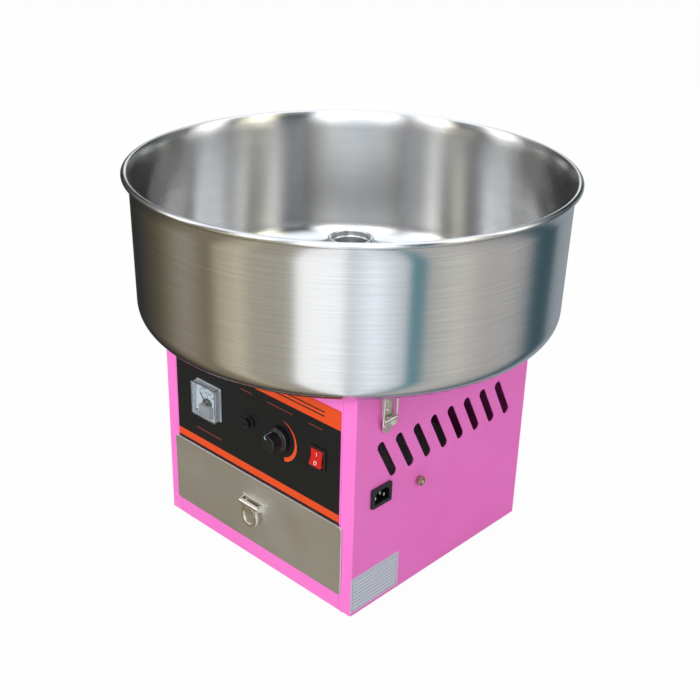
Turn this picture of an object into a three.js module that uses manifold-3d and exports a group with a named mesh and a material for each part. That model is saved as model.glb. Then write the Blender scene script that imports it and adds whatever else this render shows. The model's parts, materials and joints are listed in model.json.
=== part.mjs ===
// Cotton candy machine: a folded sheet cabinet with a drive motor, controls and a drawer,
// a spun steel bowl clamped on top by four toggle latches, and a spinner head in the bowl.
//
// Millimetres. +Z is up and the front faces -Y. The origin is on the table,
// under the spindle, which is also the middle of the cabinet and of the bowl.

import * as THREE from "three";
import { mergeVertices } from "three/addons/utils/BufferGeometryUtils.js";
import Module from "manifold-3d";

const wasm = await Module();
wasm.setup();

// ---------------------------------------------------------------- driving dimensions

const gap = 0.3; // between pieces that touch
const sheet = 1.2; // cabinet and drawer sheet

const cabinet = { width: 320, depth: 310, height: 280 };
const foot = { height: 12, radius: 14, inset: 24, screwRadius: 4 };
const flange = 18.5; // front and rear returns of the side panels
const panelReturn = 12; // returns of the front and back panels
const floorZ = foot.height;
const topZ = floorZ + cabinet.height; // the drive, the head and the latches are set out from it
const basePan = { frontLip: 22, innerLip: 16 };
const skirt = { drop: 12, clear: 3 }; // folded edge of the top plate, and its room behind the panels' returns

const vents = { count: 8, pitch: 29.7, first: -116.4, top: 212, rise: 50, lean: 27, width: 11.5 };

const bowl = {
  radius: 250, rimRadius: 260, beadRadius: 3.5, flare: 2, height: 181.5,
  cornerRadius: 30, wall: 1.2, collarRadius: 30, collarHeight: 12,
};
const gasket = { thickness: 1.6, outer: 150, inner: 120 };

const spindle = { radius: 6, bottom: topZ - 156, top: topZ + 60 };
const head = {
  radius: 60, bottom: topZ + 30, coneEdge: topZ + 74, top: topZ + 97, mouth: 27, well: 21.5, wall: 1.4,
  sides: 32, // one count for the nested round pieces, so that their flats line up
};
const screen = { count: 16, slotWidth: 4, thickness: 1.2 };
const heater = { radius: 50, depth: 4, thickness: 0.8, height: 22, waves: 24 };

const motor = {
  radius: 46, bottom: topZ - 132, top: topZ - 43, wall: 2, stator: 27.8,
  boss: 10, bossWall: 4, plate: 3, seatFloor: 2, coreRoom: 8,
};
const bearing = { radius: 13, width: 8 };
const bracket = { thickness: 2, halfWidth: 62, depth: 60, foot: 20 };
const slipRing = { radius: 14, core: 10, bottom: topZ - 38, height: 30, band: 7 };
const brush = { width: 8, height: 6, holder: 22 };
const fan = { radius: 38, height: 12, blades: 6, blade: 1.6 };

const drawer = { width: 266, length: 270, bottom: 42, height: 74 };
const drawerFront = { width: 290, bottom: 34.5, top: 126.5, thickness: 2, corner: 5 };
const runner = { under: 5, thickness: 1.5, guide: 10, leg: 22 };
const pull = {
  width: 34, plate: 14, pinZ: 91, stand: 5, ringRadius: 14, holeRadius: 9.4, drop: 16, thickness: 3.4,
};

const frontBottom = 127; // lower edge of the front panel, over the drawer
const label = { width: 278, top: 269.2, thickness: 0.5 };
const controlZ = 199;
const meter = { x: -78, z: 200, size: 44, depth: 10, barrel: 18.5, barrelDepth: 34, hubDrop: 4.5, needle: 17 };
const fuse = { x: -6, flange: 8, barrel: 6, capDepth: 5.5, depth: 30 };
const knob = { x: 46, skirt: 15, grip: 10.2, height: 20, shaft: 3, bushing: 4.7, pot: 14, potDepth: 17 };
const rocker = { x: 106, width: 18, height: 20, bezelWidth: 24, bezelHeight: 28, depth: 24, tilt: 10 };

const inlet = {
  y: -111.5, z: 157, width: 32.5, height: 25, flange: 2.5, depth: 30, socket: 16, bodyHalf: 13.5, bodyRise: 10,
};
const stud = { y: -46.5, z: 148.3, radius: 2.4, length: 8.5, nutRadius: 5.6 };

const latch = {
  y: 107, pivotZ: topZ - 39, loopTop: topZ - 8, plateTop: topZ - 14, stand: 5.8, crank: 7, overCentre: 1,
  lean: 1.8, plate: 1.2, earHalf: 7.4, ear: 1, eye: 3, pin: 1.5, barrel: 2.4, cheekHalf: 8.9, cheek: 1.2,
  wire: 1.3, tongueDrop: 3.5, tip: 18.5,
};
const hook = { halfWidth: 7, thickness: 1.4, rise: 2, foot: 20, weld: 0.4 };

// ---------------------------------------------------------------- levels and faces

const halfW = cabinet.width / 2;
const halfD = cabinet.depth / 2;
const insideX = halfW - sheet;
const insideY = halfD - sheet;
const frontY = -halfD;
const panelHalf = halfW - flange - gap;
const sideTop = topZ - sheet - gap;
const labelFace = frontY - gap - label.thickness;
const faceY = labelFace - gap; // back of whatever is screwed on over the label
const gasketBottom = topZ + gap;
const bowlBottom = gasketBottom + gasket.thickness + gap;
const bracketZ = motor.top + gap; // underside of the motor bracket's bridge

// ---------------------------------------------------------------- materials

const finish = (color, roughness, metalness) =>
  new THREE.MeshStandardMaterial({ color, roughness, metalness });
const finishes = {
  powder: () => finish(0xf47fcf, 0.4, 0),
  bowlSteel: () => finish(0xc4c4c2, 0.25, 1),
  drawerSteel: () => finish(0x8d8779, 0.4, 1),
  zinc: () => finish(0xb9babd, 0.45, 1),
  nickel: () => finish(0xb8b2a6, 0.25, 1),
  darkSteel: () => finish(0x55585a, 0.4, 1),
  copper: () => finish(0xb8703a, 0.4, 1),
  brass: () => finish(0xc9a45a, 0.35, 1),
  rubber: () => finish(0x161616, 0.8, 0),
  blackPlastic: () => finish(0x17181a, 0.4, 0),
  printed: () => finish(0x1b1b1f, 0.35, 0),
  redPlastic: () => finish(0xd3151b, 0.3, 0),
  whitePlastic: () => finish(0xe9edf0, 0.5, 0),
  carbon: () => finish(0x2b2b2d, 0.7, 0.2),
  nichrome: () => finish(0x8a8378, 0.5, 1),
  clear: () => new THREE.MeshStandardMaterial({
    color: 0xe8f0f4, roughness: 0.1, metalness: 0, transparent: true, opacity: 0.35,
  }),
};

// ---------------------------------------------------------------- shape helpers

const machine = new THREE.Group();
machine.name = "cotton_candy_machine";

function add(name, geometry, material, parent = machine) {
  const mesh = new THREE.Mesh(geometry, material);
  mesh.name = name;
  parent.add(mesh);
  return mesh;
}

function solidOf(geometry) {
  const bare = geometry.clone();
  bare.deleteAttribute("normal");
  bare.deleteAttribute("uv");
  const merged = mergeVertices(bare, 1e-4);
  return new wasm.Manifold(
    new wasm.Mesh({
      numProp: 3,
      vertProperties: new Float32Array(merged.attributes.position.array),
      triVerts: new Uint32Array(merged.index.array),
    })
  );
}

function geometryOf(solid) {
  const mesh = solid.getMesh();
  const geometry = new THREE.BufferGeometry();
  geometry.setAttribute("position", new THREE.BufferAttribute(new Float32Array(mesh.vertProperties), 3));
  geometry.setIndex(new THREE.BufferAttribute(new Uint32Array(mesh.triVerts), 1));
  geometry.computeVertexNormals();
  return geometry;
}

const join = (...parts) => geometryOf(parts.map(solidOf).reduce((a, b) => a.add(b)));
const cut = (body, ...tools) => geometryOf(tools.map(solidOf).reduce((a, b) => a.subtract(b), solidOf(body)));

// A box from its low and high values along X, Y and Z.
function block([x0, x1], [y0, y1], [z0, z1]) {
  const geometry = new THREE.BoxGeometry(x1 - x0, y1 - y0, z1 - z0);
  return geometry.translate((x0 + x1) / 2, (y0 + y1) / 2, (z0 + z1) / 2);
}

// A box that is centred left to right.
const wide = (half, ys, zs) => block([-half, half], ys, zs);

// An outline swept along an axis, from one value to the other. Its own x and y run along
// Y and Z for a sweep along X, and along X and Z for a sweep along Y.
function sweep(outline, axis, from, to) {
  const settings = { depth: to - from, bevelEnabled: false, curveSegments: 3 };
  const geometry = new THREE.ExtrudeGeometry(outline, settings);
  const x = new THREE.Vector3(1, 0, 0);
  const y = new THREE.Vector3(0, 1, 0);
  const z = new THREE.Vector3(0, 0, 1);
  if (axis === "x") return geometry.applyMatrix4(new THREE.Matrix4().makeBasis(y, z, x)).translate(from, 0, 0);
  if (axis === "y") {
    return geometry.applyMatrix4(new THREE.Matrix4().makeBasis(x, z, y.negate())).translate(0, to, 0);
  }
  return geometry.translate(0, 0, from);
}

function outlineOf(points) {
  return new THREE.Shape(points.map(([x, y]) => new THREE.Vector2(x, y)));
}

function roundedOutline(width, height, radius, cx = 0, cy = 0) {
  const shape = new THREE.Shape();
  const [w, h] = [width / 2 - radius, height / 2 - radius];
  shape.absarc(cx + w, cy - h, radius, -Math.PI / 2, 0);
  shape.absarc(cx + w, cy + h, radius, 0, Math.PI / 2);
  shape.absarc(cx - w, cy + h, radius, Math.PI / 2, Math.PI);
  shape.absarc(cx - w, cy - h, radius, Math.PI, 1.5 * Math.PI);
  return shape;
}

// A round bar along an axis; the centre is given by its two other coordinates.
function rod(radius, axis, from, to, [a, b] = [0, 0], segments = 16) {
  const geometry = new THREE.CylinderGeometry(radius, radius, to - from, segments);
  const middle = (from + to) / 2;
  if (axis === "x") return geometry.rotateZ(Math.PI / 2).translate(middle, a, b);
  if (axis === "y") return geometry.translate(a, middle, b);
  return geometry.rotateX(Math.PI / 2).translate(a, b, middle);
}

// A turned piece about Z from an outline of [radius, height] points, given in either direction.
function turned(points, segments = 24) {
  const outline = points.map(([r, h]) => new THREE.Vector2(r, h));
  if (THREE.ShapeUtils.isClockWise(outline)) outline.reverse();
  return new THREE.LatheGeometry([...outline, outline[0]], segments).rotateX(Math.PI / 2);
}

const tube = (inner, outer, bottom, top, segments = 24) =>
  turned([[inner, bottom], [outer, bottom], [outer, top], [inner, top]], segments);

// Points of an arc, angles in degrees.
function arc(cx, cy, radius, from, to, steps) {
  const points = [];
  for (let i = 0; i <= steps; i += 1) {
    const angle = THREE.MathUtils.degToRad(from + ((to - from) * i) / steps);
    points.push([cx + radius * Math.cos(angle), cy + radius * Math.sin(angle)]);
  }
  return points;
}

// ---------------------------------------------------------------- cabinet

// Slanted vent slots through a side wall, with round ends.
function ventTools(x0, x1) {
  const radius = vents.width / 2;
  const length = Math.hypot(vents.lean, vents.rise) - vents.width;
  const slope = Math.atan2(vents.lean, vents.rise);
  const tools = [];
  for (let i = 0; i < vents.count; i += 1) {
    const shape = roundedOutline(vents.width, length + vents.width, radius - 0.01);
    const tool = sweep(shape, "x", x0, x1).rotateX(slope);
    const y = vents.first + vents.lean / 2 + i * vents.pitch;
    tools.push(tool.translate(0, y, floorZ + vents.top - vents.rise / 2));
  }
  return tools;
}

function sidePanel() {
  const [out, inn] = [halfW, insideX];
  const outline = outlineOf([
    [out - flange, -halfD], [out, -halfD], [out, halfD], [out - flange, halfD],
    [out - flange, insideY], [inn, insideY], [inn, -insideY], [out - flange, -insideY],
  ]);
  return cut(sweep(outline, "z", floorZ, sideTop), ...ventTools(inn - 1, out + 1));
}

const rightHoles = [
  block(
    [insideX - 1, halfW + 1], [inlet.y - inlet.bodyHalf - gap, inlet.y + inlet.bodyHalf + gap],
    [inlet.z - inlet.bodyRise - gap, inlet.z + inlet.bodyRise + gap]
  ),
  rod(stud.radius + gap, "x", insideX - 1, halfW + 1, [stud.y, stud.z]),
];
add("side_panel_right", cut(sidePanel(), ...rightHoles), finishes.powder());
add("side_panel_left", geometryOf(solidOf(sidePanel()).mirror([1, 0, 0])), finishes.powder());

const lipX = insideX - gap;
const lipY = insideY - gap;
add(
  "base_pan",
  join(
    wide(lipX, [-lipY, lipY], [floorZ, floorZ + sheet]),
    wide(panelHalf, [frontY, -lipY + sheet], [floorZ, floorZ + sheet]),
    wide(panelHalf, [frontY, frontY + sheet], [floorZ, floorZ + basePan.frontLip]),
    block([lipX - sheet, lipX], [-lipY, lipY], [floorZ, floorZ + basePan.innerLip]),
    block([-lipX, -lipX + sheet], [-lipY, lipY], [floorZ, floorZ + basePan.innerLip]),
    wide(panelHalf - 2 * sheet, [lipY - sheet, lipY], [floorZ, floorZ + basePan.innerLip])
  ),
  finishes.powder()
);

const backBottom = floorZ + sheet + gap;
add(
  "back_panel",
  join(
    wide(panelHalf, [insideY, halfD], [floorZ, sideTop]),
    block([panelHalf - sheet, panelHalf], [insideY - panelReturn, halfD], [backBottom, sideTop]),
    block([-panelHalf, -panelHalf + sheet], [insideY - panelReturn, halfD], [backBottom, sideTop])
  ),
  finishes.powder()
);

const skirtX = panelHalf - sheet - gap; // the lid's skirt runs inside the panels' returns
const skirtY = insideY - gap;
const skirtEnd = halfD - panelReturn - skirt.clear;
add(
  "top_plate",
  cut(
    join(
      wide(halfW, [-halfD, halfD], [topZ - sheet, topZ]),
      wide(skirtX, [skirtY - sheet, skirtY], [topZ - skirt.drop, topZ - sheet / 2]),
      wide(skirtX, [-skirtY, -skirtY + sheet], [topZ - skirt.drop, topZ - sheet / 2]),
      block([lipX - sheet, lipX], [-skirtEnd, skirtEnd], [topZ - skirt.drop, topZ - sheet / 2]),
      block([-lipX, -lipX + sheet], [-skirtEnd, skirtEnd], [topZ - skirt.drop, topZ - sheet / 2])
    ),
    rod(bowl.collarRadius - 6, "z", topZ - 2 * sheet, topZ + 1)
  ),
  finishes.powder()
);

// Openings that the front panel and its label share.
function controlHoles() {
  const [y0, y1] = [labelFace - 1, frontY + sheet + 1];
  return [
    rod(meter.barrel + gap, "y", y0, y1, [meter.x, meter.z], 24),
    rod(fuse.barrel + gap, "y", y0, y1, [fuse.x, controlZ]),
    rod(knob.bushing + gap, "y", y0, y1, [knob.x, controlZ]),
    block(
      [rocker.x - rocker.width / 2 - 1 - gap, rocker.x + rocker.width / 2 + 1 + gap], [y0, y1],
      [controlZ - rocker.height / 2 - 2.5 - gap, controlZ + rocker.height / 2 + 2.5 + gap]
    ),
  ];
}

add(
  "front_panel",
  cut(
    join(
      wide(panelHalf, [frontY, frontY + sheet], [frontBottom, sideTop]),
      wide(panelHalf, [frontY, frontY + panelReturn], [frontBottom, frontBottom + sheet]),
      block([panelHalf - sheet, panelHalf], [frontY, frontY + panelReturn], [frontBottom, sideTop]),
      block([-panelHalf, -panelHalf + sheet], [frontY, frontY + panelReturn], [frontBottom, sideTop])
    ),
    ...controlHoles()
  ),
  finishes.powder()
);
add(
  "control_label",
  cut(wide(label.width / 2, [labelFace, frontY - gap], [frontBottom + gap, label.top]), ...controlHoles()),
  finishes.printed()
);

const corners = [["front_left", -1, -1], ["front_right", 1, -1], ["rear_left", -1, 1], ["rear_right", 1, 1]];
for (const [place, sx, sy] of corners) {
  const { radius, screwRadius, height } = foot;
  const rubber = turned([
    [screwRadius, 0], [radius - 1.2, 0], [radius, 1.2], [radius - 1.2, height - gap],
    [1.6, height - gap], [1.6, 3], [screwRadius, 3],
  ], 16);
  rubber.translate(sx * (halfW - foot.inset), sy * (halfD - foot.inset), 0);
  add(`foot_${place}`, rubber, finishes.rubber());
}

// ---------------------------------------------------------------- drive

const bore = spindle.radius + gap;
add("spindle_shaft", rod(spindle.radius, "z", spindle.bottom, spindle.top), finishes.zinc());

const bellTop = motor.bottom + motor.boss;
add(
  "motor_housing",
  turned([
    [bearing.radius + gap, motor.top - motor.boss], [bearing.radius + gap, motor.top - motor.plate],
    [bore + 1, motor.top - motor.plate],
    [bore + 1, motor.top], [motor.radius, motor.top], [motor.radius, bellTop + gap],
    [motor.radius - motor.wall, bellTop + gap], [motor.radius - motor.wall, motor.top - 2 * motor.plate],
    [bearing.radius + motor.bossWall, motor.top - 2 * motor.plate],
    [bearing.radius + motor.bossWall, motor.top - motor.boss],
  ]),
  finishes.darkSteel()
);
add(
  "motor_end_bell",
  turned([
    [bore + 1, motor.bottom], [motor.radius, motor.bottom], [motor.radius, bellTop],
    [motor.radius - motor.wall, bellTop], [motor.radius - motor.wall, motor.bottom + motor.plate],
    [bearing.radius + motor.bossWall, motor.bottom + motor.plate], [bearing.radius + motor.bossWall, bellTop],
    [bearing.radius + gap, bellTop], [bearing.radius + gap, motor.bottom + motor.seatFloor],
    [bore + 1, motor.bottom + motor.seatFloor],
  ]),
  finishes.zinc()
);
const seatTop = motor.top - motor.plate - gap;
add("bearing_upper", tube(bore, bearing.radius, seatTop - bearing.width, seatTop, 20), finishes.nickel());
const seatBottom = motor.bottom + motor.seatFloor + gap;
add("bearing_lower", tube(bore, bearing.radius, seatBottom, seatBottom + bearing.width, 20), finishes.nickel());
const coreSpan = [bellTop + motor.coreRoom, motor.top - 2 * motor.coreRoom];
add("motor_stator", tube(motor.stator, motor.radius - motor.wall - gap, ...coreSpan), finishes.copper());
add("motor_rotor", tube(bore, motor.stator - 0.5, coreSpan[0] + 2, coreSpan[1] - 2), finishes.darkSteel());

// The bracket is a bridge under the top plate; the motor hangs from it.
const legTop = topZ - sheet - gap;
const bracketTop = bracketZ + bracket.thickness;
const bracketY = [-bracket.depth / 2, bracket.depth / 2];
const bracketLeg = bracket.halfWidth - bracket.thickness;
add(
  "motor_bracket",
  cut(
    join(
      wide(bracket.halfWidth, bracketY, [bracketZ, bracketTop]),
      block([bracketLeg, bracket.halfWidth], bracketY, [bracketZ, legTop]),
      block([-bracket.halfWidth, -bracketLeg], bracketY, [bracketZ, legTop]),
      block([bracketLeg, bracket.halfWidth + bracket.foot], bracketY, [legTop - bracket.thickness, legTop]),
      block([-bracket.halfWidth - bracket.foot, -bracketLeg], bracketY, [legTop - bracket.thickness, legTop])
    ),
    rod(bore + 4, "z", bracketZ - 1, bracketTop + 1)
  ),
  finishes.zinc()
);

const ringTop = slipRing.bottom + slipRing.height;
const upperBand = ringTop - 3 - slipRing.band;
const lowerBand = slipRing.bottom + 3;
add(
  "slip_ring_assembly",
  turned([
    [bore, slipRing.bottom], [slipRing.core, slipRing.bottom], [slipRing.core, lowerBand],
    [slipRing.radius, lowerBand], [slipRing.radius, lowerBand + slipRing.band],
    [slipRing.core, lowerBand + slipRing.band], [slipRing.core, upperBand], [slipRing.radius, upperBand],
    [slipRing.radius, upperBand + slipRing.band], [slipRing.core, upperBand + slipRing.band],
    [slipRing.core, ringTop], [bore, ringTop],
  ], 20),
  finishes.brass()
);

// Two brushes slide in one insulating holder and press on the two bands.
const brushFaceX = -slipRing.radius - gap;
const holderX = [brushFaceX - 4 - brush.holder, brushFaceX - 4];
const brushY = [-brush.width / 2, brush.width / 2];
const brushSpans = [["lower", lowerBand], ["upper", upperBand]].map(([name, bottom]) => {
  const middle = bottom + slipRing.band / 2;
  return [name, [middle - brush.height / 2, middle + brush.height / 2]];
});
const channels = brushSpans.map(([, [z0, z1]]) =>
  block([holderX[0] + 3, holderX[1] + 1], [brushY[0] - gap, brushY[1] + gap], [z0 - gap, z1 + gap])
);
add(
  "brush_holder",
  cut(block(holderX, [-brush.width, brush.width], [bracketTop + gap, ringTop]), ...channels),
  finishes.blackPlastic()
);
for (const [name, zs] of brushSpans) {
  add(`carbon_brush_${name}`, block([holderX[0] + 3 + gap, brushFaceX], brushY, zs), finishes.carbon());
}

const fanTop = motor.bottom - 3;
const fanBottom = fanTop - fan.height;
const blades = Array.from({ length: fan.blades }, (_, i) =>
  block([8, fan.radius], [-fan.blade / 2, fan.blade / 2], [fanBottom, fanTop])
    .translate(-22, 0, -(fanBottom + fanTop) / 2)
    .rotateX(0.6)
    .translate(22, 0, (fanBottom + fanTop) / 2)
    .rotateZ((2 * Math.PI * i) / fan.blades)
);
add("cooling_fan", join(tube(bore, 12, fanBottom, fanTop, 24), ...blades), finishes.blackPlastic());

// ---------------------------------------------------------------- spinner head

const baseTop = head.bottom + 3;
const postTop = head.coneEdge + 4;
const posts = Array.from({ length: 3 }, (_, i) => {
  const angle = (2 * Math.PI * i) / 3 + Math.PI / 6;
  return rod(2.2, "z", baseTop - 1, postTop, [38 * Math.cos(angle), 38 * Math.sin(angle)], 8);
});
add(
  "head_base",
  join(
    turned([
      [bore, head.bottom - 8], [13, head.bottom - 8], [13, head.bottom], [head.radius - 4, head.bottom],
      [head.radius, head.bottom + 3], [head.radius, baseTop + 1.5], [head.radius - 1.2, baseTop + 1.5],
      [head.radius - 1.2, baseTop], [15, baseTop], [11, spindle.top - 12], [bore, spindle.top - 12],
    ], head.sides),
    ...posts
  ),
  finishes.nickel()
);

// The ribbon heater is a pleated ring.
function ribbon(radius) {
  const points = [];
  for (let i = 0; i < 2 * heater.waves; i += 1) {
    const angle = (Math.PI * i) / heater.waves;
    const r = radius + (i % 2 ? heater.depth / 2 : -heater.depth / 2);
    points.push([r * Math.cos(angle), r * Math.sin(angle)]);
  }
  return points;
}
const heaterOutline = outlineOf(ribbon(heater.radius + heater.thickness / 2));
heaterOutline.holes.push(new THREE.Path(
  ribbon(heater.radius - heater.thickness / 2).map(([x, y]) => new THREE.Vector2(x, y))
));
const heaterBottom = baseTop + gap;
const heaterSpan = [heaterBottom, heaterBottom + heater.height];
add("heater_element", sweep(heaterOutline, "z", ...heaterSpan), finishes.nichrome());

const screenOuter = head.radius - 1.2 - gap;
const screenTop = head.coneEdge - 2 - gap;
const slots = Array.from({ length: screen.count }, (_, i) =>
  block(
    [screenOuter - 2 * screen.thickness, screenOuter + 2], [-screen.slotWidth / 2, screen.slotWidth / 2],
    [baseTop + 5, screenTop - 5]
  ).rotateZ((2 * Math.PI * (i + 0.5)) / screen.count)
);
add(
  "head_screen",
  cut(tube(screenOuter - screen.thickness, screenOuter, baseTop + gap, screenTop, head.sides), ...slots),
  finishes.nickel()
);

add(
  "head_cover",
  turned([
    [head.well, baseTop + 9], [head.well + head.wall, baseTop + 9], [head.well + head.wall, head.coneEdge + 12],
    [head.well + head.wall + 3, head.coneEdge + 13], [head.mouth + 4, head.coneEdge + 13],
    [head.radius - head.wall, head.coneEdge - head.wall], [head.radius - head.wall, screenTop - 4],
    [head.radius, screenTop - 4], [head.radius, head.coneEdge],
    [head.mouth + 2.5, head.coneEdge + 16.5], [head.mouth, head.coneEdge + 18.5],
    ...arc(head.mouth - 2, head.top - 2, 2, 0, 180, 4),
    [head.mouth - 4, head.coneEdge + 16], [head.well, head.coneEdge + 14],
  ], head.sides),
  finishes.darkSteel()
);

// ---------------------------------------------------------------- drawer

const drawerHalf = drawer.width / 2;
const boxTop = drawer.bottom + drawer.height;
const runnerTop = drawer.bottom - gap;
const boxBack = frontY + drawer.length;
add(
  "drawer_box",
  cut(
    wide(drawerHalf, [frontY, boxBack], [drawer.bottom, boxTop]),
    wide(drawerHalf - sheet, [frontY + sheet, boxBack - sheet], [drawer.bottom + sheet, boxTop + 1])
  ),
  finishes.zinc()
);
const frontSpan = [frontY - gap - drawerFront.thickness, frontY - gap];
const frontHeight = drawerFront.top - drawerFront.bottom;
const frontMiddle = (drawerFront.top + drawerFront.bottom) / 2;
add(
  "drawer_front",
  sweep(roundedOutline(drawerFront.width, frontHeight, drawerFront.corner, 0, frontMiddle), "y", ...frontSpan),
  finishes.drawerSteel()
);

// Each runner is a Z-section: a leg on the side panel, a shelf and a guide beside the drawer.
for (const [side, sx] of [["left", -1], ["right", 1]]) {
  const t = runner.thickness;
  const legX = insideX - gap;
  const guideX = drawerHalf + 2.5;
  const shelfX = drawerHalf - runner.under;
  const points = [
    [shelfX, runnerTop - t], [legX, runnerTop - t], [legX, runnerTop + runner.leg],
    [legX - t, runnerTop + runner.leg], [legX - t, runnerTop], [guideX + t, runnerTop],
    [guideX + t, runnerTop + runner.guide], [guideX, runnerTop + runner.guide], [guideX, runnerTop],
    [shelfX, runnerTop],
  ].map(([x, z]) => [sx * x, z]);
  if (sx < 0) points.reverse();
  const span = [-insideY + gap, insideY - panelReturn - gap];
  add(`drawer_runner_${side}`, sweep(outlineOf(points), "y", ...span), finishes.zinc());
}

// ---------------------------------------------------------------- ring pull

const pullBack = frontSpan[0] - gap;
const pinY = pullBack - 1 - pull.stand;
const pinRadius = 1.5;
const earX = pull.width / 2;
const ears = [-1, 1].map((sx) => {
  const outline = new THREE.Shape();
  outline.moveTo(pullBack, pull.pinZ - 5);
  outline.lineTo(pullBack, pull.pinZ + 5);
  outline.absarc(pinY, pull.pinZ, 2.6, Math.PI / 2, 1.5 * Math.PI);
  const inner = earX - 1.6;
  return sweep(outline, "x", sx > 0 ? inner : -earX, sx > 0 ? earX : -inner);
});
add(
  "pull_bracket",
  join(
    sweep(roundedOutline(pull.width + 6, pull.plate, 3, 0, pull.pinZ), "y", pullBack - 1, pullBack),
    ...ears,
    rod(pinRadius, "x", -earX + 0.5, earX - 0.5, [pinY, pull.pinZ], 16)
  ),
  finishes.nickel()
);
const ringZ = pull.pinZ - pull.drop;
const knuckle = earX - 1.6 - gap;
add(
  "pull_ring",
  cut(
    join(
      rod(pull.ringRadius, "y", pinY - pull.thickness / 2, pinY + pull.thickness / 2, [0, ringZ], 28),
      rod(3, "x", -knuckle, knuckle, [pinY, pull.pinZ], 16),
      wide(11, [pinY - pull.thickness / 2, pinY + pull.thickness / 2], [ringZ + 8, pull.pinZ])
    ),
    rod(pull.holeRadius, "y", pinY - 5, pinY + 5, [0, ringZ], 24),
    rod(pinRadius + gap, "x", -knuckle - 1, knuckle + 1, [pinY, pull.pinZ], 12)
  ),
  finishes.nickel()
);

// ---------------------------------------------------------------- meter

const meterHalf = meter.size / 2;
const meterFace = faceY - 2; // front of the moulded base
const meterBase = roundedOutline(meter.size, meter.size, 1.5, meter.x, meter.z);
add(
  "meter_body",
  join(
    sweep(meterBase, "y", meterFace, faceY),
    rod(meter.barrel, "y", faceY - 0.5, faceY + meter.barrelDepth, [meter.x, meter.z], 24)
  ),
  finishes.whitePlastic()
);
const dialY = meterFace - 0.6; // the printed dial lies on the base
const hubZ = meter.z - meter.hubDrop;
const needleY = [dialY - gap - 1.4, dialY - gap - 0.6];
const needleRest = Math.PI / 4; // the scale runs 45 degrees each side of upright
add(
  "meter_needle",
  join(
    block([-0.5, 0.5], needleY, [-4, meter.needle]),
    rod(2.4, "y", dialY - gap - 2.4, dialY - gap, [0, 0], 20)
  ).rotateY(-needleRest).translate(meter.x, 0, hubZ),
  finishes.redPlastic()
);
const coverWall = 1.6;
const coverSpan = [faceY - meter.depth, meterFace - gap];
add(
  "meter_cover",
  cut(
    sweep(meterBase, "y", ...coverSpan),
    block(
      [meter.x - meterHalf + coverWall, meter.x + meterHalf - coverWall],
      [coverSpan[0] + coverWall, coverSpan[1] + 1],
      [meter.z - meterHalf + coverWall, meter.z + meterHalf - coverWall]
    )
  ),
  finishes.clear()
);

// ---------------------------------------------------------------- fuse holder

const fuseFront = faceY - 2.5;
add(
  "fuse_holder",
  cut(
    join(
      rod(fuse.flange, "y", fuseFront, faceY, [fuse.x, controlZ]),
      rod(fuse.barrel, "y", faceY - 0.5, faceY + fuse.depth, [fuse.x, controlZ])
    ),
    rod(fuse.barrel - 1.6, "y", fuseFront - 1, faceY + fuse.depth - 4, [fuse.x, controlZ], 20)
  ),
  finishes.blackPlastic()
);
add(
  "fuse_cap",
  cut(
    join(
      rod(fuse.barrel, "y", fuseFront - fuse.capDepth, fuseFront - gap, [fuse.x, controlZ]),
      rod(fuse.barrel - 1.6 - gap, "y", fuseFront - 2, faceY + 8, [fuse.x, controlZ], 20)
    ),
    block(
      [fuse.x - 4, fuse.x + 4], [fuseFront - fuse.capDepth - 1, fuseFront - fuse.capDepth + 1.5],
      [controlZ - 0.7, controlZ + 0.7]
    )
  ),
  finishes.blackPlastic()
);

// ---------------------------------------------------------------- heat control

const potFront = frontY + sheet + gap;
const nutY = [faceY - 2.5, faceY];
const shaftEnd = faceY - knob.height + 3;
add(
  "heat_control",
  cut(
    join(
      rod(knob.pot, "y", potFront, potFront + knob.potDepth, [knob.x, controlZ], 20),
      rod(knob.bushing, "y", nutY[0] - 3, potFront + 1, [knob.x, controlZ])
    ),
    rod(knob.shaft + gap, "y", nutY[0] - 4, potFront + knob.potDepth - 3, [knob.x, controlZ])
  ),
  finishes.blackPlastic()
);
add(
  "heat_control_shaft",
  rod(knob.shaft, "y", shaftEnd, potFront + knob.potDepth - 3 - gap, [knob.x, controlZ]),
  finishes.brass()
);

// The knob is a straight grip on a skirt, hollow at the back to clear the bushing.
function knobGeometry() {
  const body = turned([
    [knob.shaft + gap, -knob.height + 2.6], [knob.shaft + gap, -7], [9, -7], [9, -gap], [knob.skirt, -gap],
    [knob.skirt, -3], [knob.skirt - 2, -6.5], [knob.grip + 0.6, -7.5], [knob.grip, -knob.height + 1],
    [knob.grip - 1, -knob.height], [0, -knob.height], [0, -knob.height + 2.6],
  ], 24);
  return body.rotateX(-Math.PI / 2).translate(knob.x, faceY, controlZ);
}
add("heat_knob", knobGeometry(), finishes.blackPlastic());

// ---------------------------------------------------------------- rocker switch

const switchFront = faceY - 2;
const pocketW = rocker.width / 2 + gap;
const pocketH = rocker.height / 2 + 1.7;
const rockerPivotY = faceY + 3;
add(
  "switch_housing",
  cut(
    join(
      sweep(
        roundedOutline(rocker.bezelWidth, rocker.bezelHeight, 1.5, rocker.x, controlZ), "y", switchFront, faceY
      ),
      block(
        [rocker.x - rocker.width / 2 - 1, rocker.x + rocker.width / 2 + 1], [faceY - 0.5, faceY + rocker.depth],
        [controlZ - rocker.height / 2 - 2.5, controlZ + rocker.height / 2 + 2.5]
      )
    ),
    block(
      [rocker.x - pocketW, rocker.x + pocketW], [switchFront - 1, rockerPivotY + 12],
      [controlZ - pocketH, controlZ + pocketH]
    )
  ),
  finishes.blackPlastic()
);

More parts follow.
